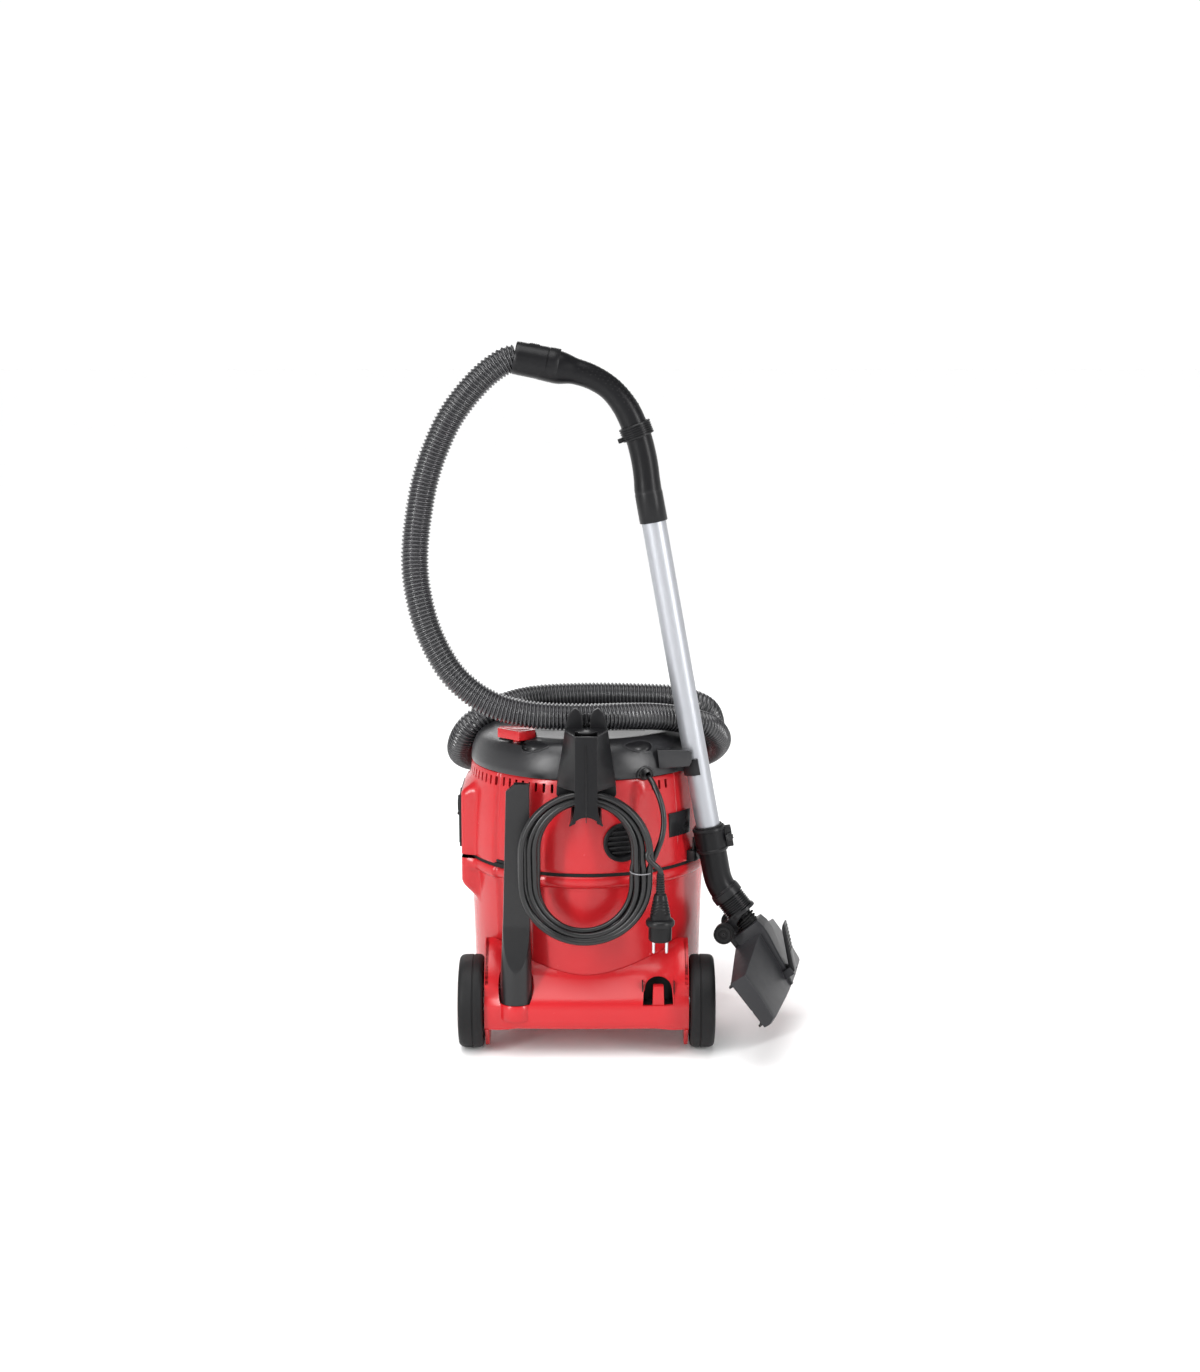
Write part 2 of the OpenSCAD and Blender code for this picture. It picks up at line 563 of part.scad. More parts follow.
// --- floor nozzle --------------------------------------------------------------
// Ribbed swivel sleeve with two ears that reach the nozzle's axle
module neck_sleeve() placed() color(black) {
    on_neck(14.4) {
        rotate_extrude() polygon([[17, 0], [23.5, 0], [23.5, 12], [20, 12], [20, 15], [22, 15],
            [22, 18], [20, 18], [20, 21], [22, 21], [22, 24], [20, 24], [20, 27], [22, 27],
            [22, 30], [20, 30], [20, 34], [24, 34], [24, 44], [17, 44]]);
    }
    on_nozzle() both_ears();
}
module both_ears() for (s = [-1, 1]) translate([0, s * 20, 0]) rotate([90, 0, 0])
    translate([0, 0, -2]) difference() {
        linear_extrude(4) polygon([[-102, 45], [-96, 45], [roller_x + 7, roller_z + 7],
            [roller_x + 7, roller_z - 7], [roller_x - 7, roller_z - 7], [-102, 28]]);
        translate([roller_x, roller_z, -1]) cylinder(r = 4 + fit, h = 6);
    }
module nozzle_body() placed() color(grey) on_nozzle() difference() {
    union() {
        hull() {
            translate([-42, -nozzle_w / 2, 2]) cube([84, 4, 27]);
            translate([-64, -48, 2]) cube([100, 96, 36]);
            translate([-42, nozzle_w / 2 - 4, 2]) cube([84, 4, 27]);
        }
        hull() {
            translate([-72, -18, 8]) cube([24, 36, 44]);
            translate([16, -14, 8]) cube([6, 28, 30]);
        }
        // rear cheeks that hold the axle
        for (y = [-17, 13]) translate([roller_x - 6, y, 0]) cube([40, 4, 14]);
        // lugs that hold the pedal
        for (y = [-18, 14]) translate([11, y, 30]) cube([14, 4, 21]);
    }
    // suction slot and throat
    translate([-30, -nozzle_w / 2 + 8, 1]) cube([60, nozzle_w - 16, 14]);
    translate([-20, 0, 10]) cylinder(r = 16, h = 24);
    translate([-95, 0, neck_axis_z - 6]) rotate([0, 90, 0]) cylinder(r = 15, h = 70);
    // axle bore
    translate([roller_x, -30, roller_z]) rotate([-90, 0, 0]) cylinder(r = 4 + fit, h = 60);
    // slots for the brush strips
    for (x = [-37, 33]) translate([x, -nozzle_w / 2 + 9, 1]) cube([5, nozzle_w - 18, 17.5]);
    // pedal bore
    translate([18, -30, 46]) rotate([-90, 0, 0]) cylinder(r = 3 + fit, h = 60);
}
// Axle with a roller on each end
module nozzle_wheels() placed() color(black) on_nozzle() translate([roller_x, 0, roller_z])
    rotate([90, 0, 0]) {
        translate([0, 0, -36]) cylinder(r = 4, h = 72);
        for (z = [-44, 28]) translate([0, 0, z]) difference() {
            cylinder(r = 15, h = 16);
            translate([0, 0, z < 0 ? -1 : 14]) ring(10, 4, 3);
        }
    }
module nozzle_pedal() placed() color(grey) on_nozzle() translate([18, 0, 46]) {
    rotate([90, 0, 0]) translate([0, 0, -13]) linear_extrude(26)
        polygon([[2, 0], [2, 5], [-60, 36], [-64, 34], [-60, 28], [-4, 0]]);
    rotate([90, 0, 0]) translate([0, 0, -17.5]) cylinder(r = 3, h = 35);
}
module brush_strips() placed() color(black) on_nozzle() for (x = [-36.6, 33.4])
    translate([x, -nozzle_w / 2 + 10, -7]) cube([4.2, nozzle_w - 20, 20]);
// Slanted crevice nozzle on its peg
module crevice_nozzle() placed() color(black) translate([crevice_x, crevice_y, 0])
    difference() {
        union() {
            translate([0, 0, 84.4]) cylinder(r = 23.5, h = 56);
            hull() {
                translate([0, 0, 138]) cylinder(r = 23.5, h = 2, $fn = 32);
                translate([-17, -9, 210]) cube([40, 18, 2]);
            }
            rotate([90, 0, 0]) translate([0, 0, -9]) linear_extrude(18)
                polygon([[-17, 210], [23, 210], [21, 413], [14, 415], [-10, 401]]);
        }
        translate([0, 0, 80]) cylinder(r = 20.5, h = 58);
        translate([-12, -6.5, 130]) cube([30, 13, 300]);
    }

tank_shell();
chassis();
stub_axles();
left_tyre();
left_wheel_rim();
right_tyre();
right_wheel_rim();
left_caster_fork();
left_caster_wheel();
right_caster_fork();
right_caster_wheel();
head_shell();
control_pod();
head_base();
rim_seal();
top_cover();
cover_screws();
rear_bracket();
cable_gland();
control_panel();
socket_insert();
rating_plate();
exhaust_grille();
wand_clip();
wand_dock();
hose_inlet();
hose_connector();
motor_housing();
filter_cage();
filter_cartridge();
latch_hinges();
power_lead();
power_coil();
power_tail();
cord_tie();
mains_plug();
suction_hose();
button_spring();
rotor();
float_ball();
selector_knob();
power_dial();
socket_lid();
clean_button();
left_latch();
right_latch();
wand_tube();
handle_grip();
hose_cuff();
cuff_button();
clamp_ring();
clamp_screw();
neck_elbow();
relief_ring();
neck_sleeve();
nozzle_body();
nozzle_wheels();
nozzle_pedal();
brush_strips();
crevice_nozzle();
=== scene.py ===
"""Shop vacuum: the looks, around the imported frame. Metres, +Z up."""
from math import atan, atan2, cos, degrees, exp, hypot, pi, radians, sin, tau

import bmesh
import bpy
from mathutils import Matrix, Vector, noise


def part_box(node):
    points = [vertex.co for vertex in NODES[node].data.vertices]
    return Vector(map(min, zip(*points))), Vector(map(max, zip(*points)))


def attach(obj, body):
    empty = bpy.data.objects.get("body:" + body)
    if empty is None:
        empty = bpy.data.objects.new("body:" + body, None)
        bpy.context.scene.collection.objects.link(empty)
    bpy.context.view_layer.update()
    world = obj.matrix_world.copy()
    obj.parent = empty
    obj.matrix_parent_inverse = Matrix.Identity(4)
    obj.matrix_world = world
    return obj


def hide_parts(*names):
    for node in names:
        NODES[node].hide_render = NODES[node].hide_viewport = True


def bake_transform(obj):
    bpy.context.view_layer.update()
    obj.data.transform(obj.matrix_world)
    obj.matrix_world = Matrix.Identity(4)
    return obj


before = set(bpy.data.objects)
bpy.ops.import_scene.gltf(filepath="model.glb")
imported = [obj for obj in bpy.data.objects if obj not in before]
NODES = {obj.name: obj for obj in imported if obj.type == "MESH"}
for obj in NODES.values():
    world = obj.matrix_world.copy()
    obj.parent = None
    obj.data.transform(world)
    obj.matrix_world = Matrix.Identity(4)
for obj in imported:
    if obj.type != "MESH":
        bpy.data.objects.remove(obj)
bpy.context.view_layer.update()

# --- driving sizes ---------------------------------------------------------------
disc_low, disc_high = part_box("head_base")
AXIS = Vector(((disc_low.x + disc_high.x) / 2, (disc_low.y + disc_high.y) / 2, 0))
HEAD_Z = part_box("head_shell")[0].z
HEAD_TOP_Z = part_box("head_shell")[1].z
DECK_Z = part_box("top_cover")[1].z
RIM_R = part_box("tank_shell")[1].x - AXIS.x
HOSE_R = 0.0205
CORD_D = 0.0084
TUBE_R = 0.018
CHASSIS_HALF = 0.1525
GRILLE_ANGLE = -73.5
GRILLE_Z = 0.326
GLAND_ANGLE = -61
STEM_AT = (-0.104, -0.108)
PEG_AT = Vector((-0.105, -0.188, 0))
CLAMP_Z = 0.316
WAND_TOP = Vector((0.0985, -0.115, 0.796))
BEND = Vector((0.199, -0.115, 0.247))
WAND_TILT = atan((BEND.x - WAND_TOP.x) / (WAND_TOP.z - BEND.z))
NOZZLE_YAW = radians(-12.4)
NECK_DROP = radians(51)
SOLE_FROM_BEND = Vector((0.067, 0, -0.142))


def at(x, y, z):
    """A point given from the machine's own axis, in the row frame."""
    return AXIS + Vector((x, y, z))


def add_object(name, data):
    made = bpy.data.objects.new(name, data)
    bpy.context.scene.collection.objects.link(made)
    return made


# --- frames: where each assembly's own axes lie -------------------------------------
shift = Matrix.Translation


def turn(angle, axis):
    return Matrix.Rotation(angle, 4, axis)


MACHINE = shift(AXIS)


def side_frame(azimuth, radius, z):
    """Local +Z points out of the machine, local +Y up."""
    return (MACHINE @ turn(radians(azimuth), "Z") @ shift((radius, 0, z))
            @ turn(pi / 2, "Y") @ turn(pi / 2, "Z"))


def wand_frame(z):
    """Local +Z runs up along the tube, at that height of its axis."""
    x = WAND_TOP.x + (WAND_TOP.z - z) * (BEND.x - WAND_TOP.x) / (WAND_TOP.z - BEND.z)
    return shift(at(x, WAND_TOP.y, z)) @ turn(-WAND_TILT, "Y")


NECK = (shift(at(*BEND)) @ turn(NOZZLE_YAW, "Z")
        @ turn(pi / 2 + NECK_DROP, "Y"))
NOZZLE = (shift(at(*BEND)) @ turn(NOZZLE_YAW, "Z")
          @ shift(SOLE_FROM_BEND) @ turn(NECK_DROP, "Y"))


# --- camera, light and floor --------------------------------------------------------
CAMERA_AT = (0.02, -3.2, 1.093)
CAMERA_PITCH = radians(10)
FOCAL_IN_FRAME_HEIGHTS = 2106 / 1372
SENSOR = 36
LIGHT_TARGET = (0, 0, 0.4)
HORIZON = 1.04
SKY = 0.22
BAND_START = 0.22
BAND_END = 0.5
SUN = 2.6
FLOOR_HALF = 40


def make_camera():
    data = bpy.data.cameras.new("camera")
    data.sensor_width = SENSOR
    data.lens = FOCAL_IN_FRAME_HEIGHTS * SENSOR
    camera = add_object("camera", data)
    camera.location = at(*CAMERA_AT)
    camera.rotation_euler = (pi / 2 - CAMERA_PITCH, 0, 0)
    bpy.context.scene.camera = camera


def area_light(name, spot, size, power):
    """A strip light that faces the machine."""
    data = bpy.data.lights.new(name, "AREA")
    data.shape = "RECTANGLE"
    data.size, data.size_y = size
    data.energy = power
    light = add_object(name, data)
    light.location = at(*spot)
    aim = at(*LIGHT_TARGET) - light.location
    light.rotation_euler = aim.to_track_quat("-Z", "Y").to_euler()


def make_sky():
    """A white band at the horizon under a dimmer sky, the same from every side."""
    world = bpy.data.worlds.new("studio")
    bpy.context.scene.world = world
    world.use_nodes = True
    nodes, links = world.node_tree.nodes, world.node_tree.links
    split = nodes.new("ShaderNodeSeparateXYZ")
    links.new(nodes.new("ShaderNodeTexCoord").outputs["Generated"], split.inputs["Vector"])
    remap = nodes.new("ShaderNodeMapRange")
    remap.interpolation_type = "SMOOTHSTEP"
    for name, value in (("From Min", BAND_START), ("From Max", BAND_END),
                        ("To Min", HORIZON), ("To Max", SKY)):
        remap.inputs[name].default_value = value
    links.new(split.outputs["Z"], remap.inputs["Value"])
    background = nodes["Background"]
    background.inputs["Color"].default_value = (1, 1, 1, 1)
    links.new(remap.outputs["Result"], background.inputs["Strength"])


def make_studio():
    area_light("key", (-1.9, -2.1, 1.5), (0.24, 1.9), 66)
    area_light("fill", (2.2, -1.7, 1.4), (0.2, 1.9), 46)
    area_light("back", (-0.6, 2.6, 1.9), (2.2, 1.2), 24)
    sun = bpy.data.lights.new("sun", "SUN")
    sun.energy = SUN
    sun.angle = radians(50)
    add_object("sun", sun).rotation_euler = (radians(12), radians(-8), 0)
    make_sky()
    bpy.context.scene.view_settings.view_transform = "Standard"
    corners = [at(x * FLOOR_HALF, y * FLOOR_HALF, 0)
               for x, y in ((-1, -1), (1, -1), (1, 1), (-1, 1))]
    floor = mesh_object("floor", corners, [(0, 1, 2, 3)])
    floor.data.materials.append(FLOOR)


# --- mesh helpers -------------------------------------------------------------------
SHARP = radians(38)


def mesh_object(name, points, faces):
    mesh = bpy.data.meshes.new(name)
    mesh.from_pydata([tuple(p) for p in points], [], faces)
    return add_object(name, mesh)


def face_out(obj):
    """Outward normals, which the booleans need."""
    work = bmesh.new()
    work.from_mesh(obj.data)
    bmesh.ops.remove_doubles(work, verts=work.verts, dist=1e-6)
    bmesh.ops.recalc_face_normals(work, faces=work.faces)
    work.to_mesh(obj.data)
    work.free()


def finish_mesh(obj, sharp=SHARP):
    """Outward normals, smooth shading with sharp edges kept."""
    face_out(obj)
    for face in obj.data.polygons:
        face.use_smooth = True
    obj.data.set_sharp_from_angle(angle=sharp)


def apply_modifiers(obj):
    depsgraph = bpy.context.evaluated_depsgraph_get()
    depsgraph.update()
    mesh = bpy.data.meshes.new_from_object(obj.evaluated_get(depsgraph))
    obj.modifiers.clear()
    obj.data = mesh


def bevel(obj, width, segments=2, angle=radians(30)):
    modifier = obj.modifiers.new("bevel", "BEVEL")
    modifier.width = width
    modifier.segments = segments
    modifier.limit_method = "ANGLE"
    modifier.angle_limit = angle
    modifier.harden_normals = False
    apply_modifiers(obj)


def cut(obj, cutters, operation="DIFFERENCE"):
    """Booleans with throw-away cutters."""
    for part in [obj] + cutters:
        face_out(part)
    for cutter in cutters:
        modifier = obj.modifiers.new("cut", "BOOLEAN")
        modifier.operation = operation
        modifier.solver = "EXACT"
        modifier.object = cutter
    apply_modifiers(obj)
    for cutter in cutters:
        bpy.data.objects.remove(cutter)


def place(obj, matrix):
    obj.data.transform(matrix)
    return obj


def piece(obj, body, material, replaced=(), sharp=SHARP):
    """Finish a visible piece: shading, material, body, and the nodes it stands for."""
    finish_mesh(obj, sharp)
    obj.data.materials.clear()
    obj.data.materials.append(material)
    if body:
        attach(obj, body)
    if replaced:
        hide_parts(*replaced)
    return obj


def lathe(name, profile, segments=96, closed=True):
    """Revolve (radius, height) points about local Z; a closed outline gives a ring."""
    points, faces = [], []
    count = len(profile)
    for i in range(segments):
        a = tau * i / segments
        points += [(r * cos(a), r * sin(a), z) for r, z in profile]
    for i in range(segments):
        here, there = i * count, (i + 1) % segments * count
        for k in range(count if closed else count - 1):
            m = (k + 1) % count
            faces.append((here + k, here + m, there + m, there + k))
    return mesh_object(name, points, faces)


def prism(name, outline, low, high):
    """A flat outline in local X, Y, raised from low to high in local Z."""
    count = len(outline)
    points = [(x, y, z) for z in (low, high) for x, y in outline]
    faces = [tuple(reversed(range(count))), tuple(range(count, 2 * count))]
    faces += [(i, (i + 1) % count, count + (i + 1) % count, count + i)
              for i in range(count)]
    return mesh_object(name, points, faces)


def block(name, low, high):
    (x0, y0, z0), (x1, y1, z1) = low, high
    return prism(name, [(x0, y0), (x1, y0), (x1, y1), (x0, y1)], z0, z1)


def rod(name, radius, low, high, segments=48):
    return prism(name, [(radius * cos(tau * i / segments), radius * sin(tau * i / segments))
                        for i in range(segments)], low, high)


def loft(name, sections, capped=True):
    """Skin over closed sections of equal length."""
    count = len(sections[0])
    points = [p for section in sections for p in section]
    faces = []
    for i in range(len(sections) - 1):
        for k in range(count):
            m = (k + 1) % count
            faces.append((i * count + k, i * count + m, (i + 1) * count + m,
                          (i + 1) * count + k))
    if capped:
        faces.append(tuple(reversed(range(count))))
        faces.append(tuple(range((len(sections) - 1) * count, len(sections) * count)))
    return mesh_object(name, points, faces)


def smooth_route(points, step):
    """A Catmull-Rom curve through the points, at even steps along it."""
    dense = []
    count = len(points)
    for i in range(count - 1):
        a, b = points[max(i - 1, 0)], points[i]
        c, d = points[i + 1], points[min(i + 2, count - 1)]
        for k in range(24):
            t = k / 24
            dense.append(0.5 * (2 * b + (c - a) * t + (2 * a - 5 * b + 4 * c - d) * t ** 2
                                + (3 * b - a - 3 * c + d) * t ** 3))
    dense.append(points[-1])
    return even_route(dense, step)


def even_route(dense, step):
    lengths = [0.0]
    for a, b in zip(dense, dense[1:]):
        lengths.append(lengths[-1] + (b - a).length)
    total = lengths[-1]
    count = max(2, round(total / step))
    route, k = [], 0
    for i in range(count + 1):
        s = total * i / count
        while k < len(dense) - 2 and lengths[k + 1] < s:
            k += 1
        t = (s - lengths[k]) / max(lengths[k + 1] - lengths[k], 1e-9)
        route.append(dense[k].lerp(dense[k + 1], min(max(t, 0), 1)))
    return route


def route_length(route):
    return sum((b - a).length for a, b in zip(route, route[1:]))


def sweep(name, route, radius, sides=16, capped=True):
    """A tube along the route; radius(s, angle) in metres, s in metres from the start."""
    sections, s, normal = [], 0.0, None
    for i, point in enumerate(route):
        ahead = route[min(i + 1, len(route) - 1)] - route[max(i - 1, 0)]
        heading = ahead.normalized()
        if normal is None:
            seed = Vector((0, 0, 1)) if abs(heading.z) < 0.9 else Vector((1, 0, 0))
            normal = seed
        normal = (normal - normal.dot(heading) * heading).normalized()
        other = heading.cross(normal)
        if i:
            s += (point - route[i - 1]).length
        sections.append([point + radius(s, tau * k / sides) * (cos(tau * k / sides) * normal
                         + sin(tau * k / sides) * other) for k in range(sides)])
    return loft(name, sections, capped)


# --- materials ----------------------------------------------------------------------
SCUFF = 0.1


def material(name, colour, roughness, metallic=0.0, grain=900.0, depth=0.12, mottle=0.06,
             specular=0.18, edge=0.0, stretch=None):
    """Moulded or coated surface: fine grain bump, slow colour mottling, scuffed gloss,
    and paler edges where edge is above zero: worn edges on the plastics, and a
    painted highlight on the rib crests of the hose."""
    made = bpy.data.materials.new(name)
    made.use_nodes = True
    nodes, links = made.node_tree.nodes, made.node_tree.links
    shader = nodes["Principled BSDF"]
    shader.inputs["Metallic"].default_value = metallic
    shader.inputs["Specular IOR Level"].default_value = specular
    where = nodes.new("ShaderNodeTexCoord").outputs["Object"]
    if stretch:
        mapping = nodes.new("ShaderNodeMapping")
        mapping.inputs["Scale"].default_value = stretch
        links.new(where, mapping.inputs["Vector"])
        where = mapping.outputs["Vector"]

    def noise_field(scale, detail, rough=0.5):
        field = nodes.new("ShaderNodeTexNoise")
        field.inputs["Scale"].default_value = scale
        field.inputs["Detail"].default_value = detail
        field.inputs["Roughness"].default_value = rough
        links.new(where, field.inputs["Vector"])
        return field.outputs["Fac"]

    def spread(value, low, high, start=0.3, end=0.7):
        remap = nodes.new("ShaderNodeMapRange")
        remap.inputs["From Min"].default_value = start
        remap.inputs["From Max"].default_value = end
        remap.inputs["To Min"].default_value = low
        remap.inputs["To Max"].default_value = high
        links.new(value, remap.inputs["Value"])
        return remap.outputs["Result"]

    slow = noise_field(7.0, 4.0)
    ramp = nodes.new("ShaderNodeMix")
    ramp.data_type = "RGBA"
    ramp.inputs["A"].default_value = (*[c * (1 - mottle) for c in colour], 1)
    ramp.inputs["B"].default_value = (*[min(c * (1 + mottle), 1) for c in colour], 1)
    links.new(spread(slow, 0, 1), ramp.inputs["Factor"])
    tint = ramp.outputs["Result"]
    # Paler convex edges from Pointiness: wear on the plastics, painted highlight on the hose's rib
    # crests
    if edge:
        geometry = nodes.new("ShaderNodeNewGeometry")
        wear_and_sheen = nodes.new("ShaderNodeMix")
        wear_and_sheen.data_type = "RGBA"
        wear_and_sheen.inputs["B"].default_value = (*[min(c * 1.5 + 0.05, 1) for c in colour], 1)
        links.new(tint, wear_and_sheen.inputs["A"])
        links.new(spread(geometry.outputs["Pointiness"], 0, edge, 0.52, 0.62),
                  wear_and_sheen.inputs["Factor"])
        tint = wear_and_sheen.outputs["Result"]
    links.new(tint, shader.inputs["Base Color"])
    scuffs = noise_field(38.0, 6.0, 0.65)
    links.new(spread(scuffs, roughness * (1 - SCUFF), min(roughness * (1 + SCUFF), 1)),
              shader.inputs["Roughness"])
    fine = noise_field(grain, 2.0)
    bump = nodes.new("ShaderNodeBump")
    bump.inputs["Strength"].default_value = depth
    bump.inputs["Distance"].default_value = 0.0006
    links.new(fine, bump.inputs["Height"])
    links.new(bump.outputs["Normal"], shader.inputs["Normal"])
    return made


FLOOR = material("floor_pale", (0.9, 0.9, 0.9), 0.9, grain=60, depth=0.02,
                 mottle=0.01, specular=0.1)
RED = material("red_plastic", (0.42, 0.011, 0.015), 0.25, grain=700, depth=0.05,
               mottle=0.03, specular=0.4)
GREY = material("dark_grey_plastic", (0.012, 0.012, 0.0135), 0.36, grain=1500, depth=0.25,
                edge=0.3)
BLACK = material("black_plastic", (0.005, 0.005, 0.0058), 0.32, grain=1300, depth=0.15,
                 edge=0.3)
RUBBER = material("tyre_rubber", (0.007, 0.007, 0.0075), 0.55, grain=800, depth=0.3,
                  mottle=0.15, edge=0.2)
SEAL = material("seal_rubber", (0.01, 0.01, 0.01), 0.75, grain=600)
# edge=0.5 here paints a highlight along the hose's rib crests
HOSE = material("hose_plastic", (0.018, 0.018, 0.02), 0.24, grain=1800, depth=0.08,
                edge=0.5, specular=0.6)
CORD = material("cord_jacket", (0.006, 0.006, 0.0065), 0.3, grain=1600, depth=0.1,
                specular=0.45)
STEEL = material("zinc_steel", (0.62, 0.62, 0.64), 0.3, metallic=1.0, grain=1100)
TUBE = material("silver_tube", (0.37, 0.38, 0.405), 0.42, metallic=0.7, grain=1600,
                depth=0.1, mottle=0.03, stretch=(1, 1, 0.06))
COVER = material("cover_plastic", (0.014, 0.014, 0.0155), 0.3, grain=1500, depth=0.2,
                 edge=0.3, specular=0.4)
NOZZLE_GREY = material("nozzle_plastic", (0.02, 0.02, 0.022), 0.36, grain=1500,
                       depth=0.2, edge=0.35)
BLACK_GLOSS = material("black_satin_plastic", (0.008, 0.008, 0.0088), 0.3, grain=1200,
                       depth=0.1, specular=0.4)
PLUG = material("plug_rubber", (0.007, 0.007, 0.0075), 0.3, grain=1500, depth=0.12,
                edge=0.3)
PLATE = material("plate_film", (0.012, 0.012, 0.013), 0.22, grain=400, depth=0.03)
BRISTLE = material("bristles", (0.02, 0.02, 0.02), 0.6, grain=2500, depth=0.5)
PAPER = material("filter_paper", (0.72, 0.7, 0.62), 0.9, grain=500, depth=0.5)
TIE = material("tie_plastic", (0.22, 0.22, 0.23), 0.45, grain=900)

NODE_MATERIALS = {
    RED: ["tank_shell", "chassis", "head_shell", "control_pod", "clean_button"],
    STEEL: ["stub_axles", "cover_screws", "button_spring", "rotor", "clamp_screw"],
    RUBBER: ["left_tyre", "right_tyre", "left_caster_wheel", "right_caster_wheel",
             "nozzle_wheels"],
    SEAL: ["rim_seal"],
    GREY: ["top_cover", "left_wheel_rim", "right_wheel_rim", "left_caster_fork",
           "right_caster_fork", "motor_housing", "selector_knob", "power_dial",
           "socket_lid", "cuff_button", "nozzle_body", "nozzle_pedal", "wand_clip",
           "float_ball"],
    CORD: ["power_lead", "power_coil", "power_tail", "mains_plug", "cable_gland"],
    HOSE: ["suction_hose"],
    TUBE: ["wand_tube"],
    PAPER: ["filter_cartridge"],
    TIE: ["cord_tie"],
}


def dress_nodes():
    """Every CAD node gets a procedural material, black plastic where none is listed."""
    chosen = {name: made for made, names in NODE_MATERIALS.items() for name in names}
    for name, obj in NODES.items():
        obj.data.materials.clear()
        obj.data.materials.append(chosen.get(name, BLACK))


# --- suction hose -------------------------------------------------------------------
# The route of part.scad, in metres from the machine's axis
HOSE_ROUTE = [
    (0.111, 0.218, 0.322), (0.128, 0.252, 0.325), (0.152, 0.268, 0.342),
    (0.176, 0.25, 0.368), (0.19, 0.205, 0.395), (0.197, 0.158, 0.422),
    (0.199, 0.115, 0.45), (0.185, 0.088, 0.478), (0.145, 0.078, 0.495),
    (0.08, 0.08, 0.499), (0, 0.08, 0.5), (-0.08, 0.066, 0.498),
    (-0.135, 0.042, 0.488), (-0.176, 0.032, 0.466), (-0.197, 0.048, 0.436),
    (-0.2, 0.088, 0.405), (-0.172, 0.14, 0.384), (-0.115, 0.188, 0.372),
    (-0.04, 0.215, 0.366), (0.04, 0.216, 0.366), (0.11, 0.19, 0.371),
    (0.16, 0.143, 0.384), (0.192, 0.088, 0.408), (0.203, 0.034, 0.432),
    (0.201, -0.008, 0.452), (0.185, -0.042, 0.473), (0.15, -0.067, 0.488),
    (0.106, -0.091, 0.498), (0.057, -0.115, 0.503), (0.004, -0.131, 0.505),
    (-0.056, -0.134, 0.507), (-0.098, -0.134, 0.512), (-0.136, -0.133, 0.523),
    (-0.169, -0.131, 0.542), (-0.197, -0.129, 0.568), (-0.218, -0.127, 0.6),
    (-0.235, -0.125, 0.638), (-0.246, -0.123, 0.679), (-0.252, -0.12, 0.722),
    (-0.251, -0.118, 0.765), (-0.245, -0.117, 0.81), (-0.236, -0.116, 0.854),
    (-0.222, -0.115, 0.896), (-0.202, -0.115, 0.939), (-0.178, -0.115, 0.974),
    (-0.148, -0.115, 1.006), (-0.12, -0.115, 1.026), (-0.101, -0.115, 1.032),
]
RIB_PITCH = 0.0058
RIB_DEPTH = 0.0031


def make_hose():
    route = smooth_route([at(*p) for p in HOSE_ROUTE], RIB_PITCH / 6)

    def radius(s, angle):
        phase = (s / RIB_PITCH - angle / tau) % 1
        crest = 0.5 + 0.5 * cos(tau * phase)
        return HOSE_R - RIB_DEPTH * (1 - crest ** 0.6)

    hose = sweep("hose_skin", route, radius, sides=28)
    piece(hose, None, HOSE, ["suction_hose"], sharp=pi)
    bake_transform(hose)


# --- mains cord ---------------------------------------------------------------------
LEAD_ROUTE = [
    (0.092, -0.176, 0.424), (0.099, -0.188, 0.414), (0.108, -0.198, 0.394),
    (0.113, -0.204, 0.37), (0.111, -0.209, 0.344), (0.102, -0.213, 0.318),
]
TAIL_ROUTE = [
    (0.082, -0.224, 0.336), (0.086, -0.228, 0.323), (0.093, -0.23, 0.311),
    (0.103, -0.23, 0.302), (0.108, -0.227, 0.295), (0.108, -0.226, 0.284),
]
COIL_AT = Vector((-0.001, -0.216, 0.298))
COIL_R = 0.079
COIL_STRAIGHT = 0.046
COIL_TURNS = 8
STEPS_PER_TURN = 96


def track(u, outward):
    """A point on the racetrack: u from 0 to 1, from the right side and downwards."""
    arc = pi * COIL_R
    s = (u % 1) * 2 * (arc + COIL_STRAIGHT)
    half = COIL_STRAIGHT / 2
    r = COIL_R + outward
    if s < half:
        return r, -s
    s -= half
    if s < arc:
        a = s / COIL_R
        return r * cos(a), -half - r * sin(a)
    s -= arc
    if s < COIL_STRAIGHT:
        return -r, -half + s
    s -= COIL_STRAIGHT
    if s < arc:
        a = s / COIL_R
        return -r * cos(a), half + r * sin(a)
    return r, half - (s - arc)


def coil_points():
    """Eight turns that lie in a hexagonal bundle, each moving to the next place."""
    row = 0.87
    places = [(1, 0), (0.5, row), (-0.5, row), (0, 0), (-1, 0), (-0.5, -row), (0.5, -row),
              (1.5, -row), (1.5, -1.3)]
    points = []
    for i in range(2, COIL_TURNS * STEPS_PER_TURN - 3):
        t = i / STEPS_PER_TURN
        k = min(int(t), COIL_TURNS - 1)
        f = min(max(((t - k) - 0.08) / 0.5, 0), 1)
        f = f * f * (3 - 2 * f)
        wander = noise.noise(Vector((2.3 * t, 0.7 * k, 4.2))) * 0.004
        fan = 1 + 0.22 * cos(2 * tau * t)
        out = (places[k][0] * (1 - f) + places[k + 1][0] * f) * CORD_D * fan + wander
        deep = (places[k][1] * (1 - f) + places[k + 1][1] * f) * CORD_D
        x, z = track(t, out)
        points.append(at(COIL_AT.x + x, COIL_AT.y + deep, COIL_AT.z + z))
    return points


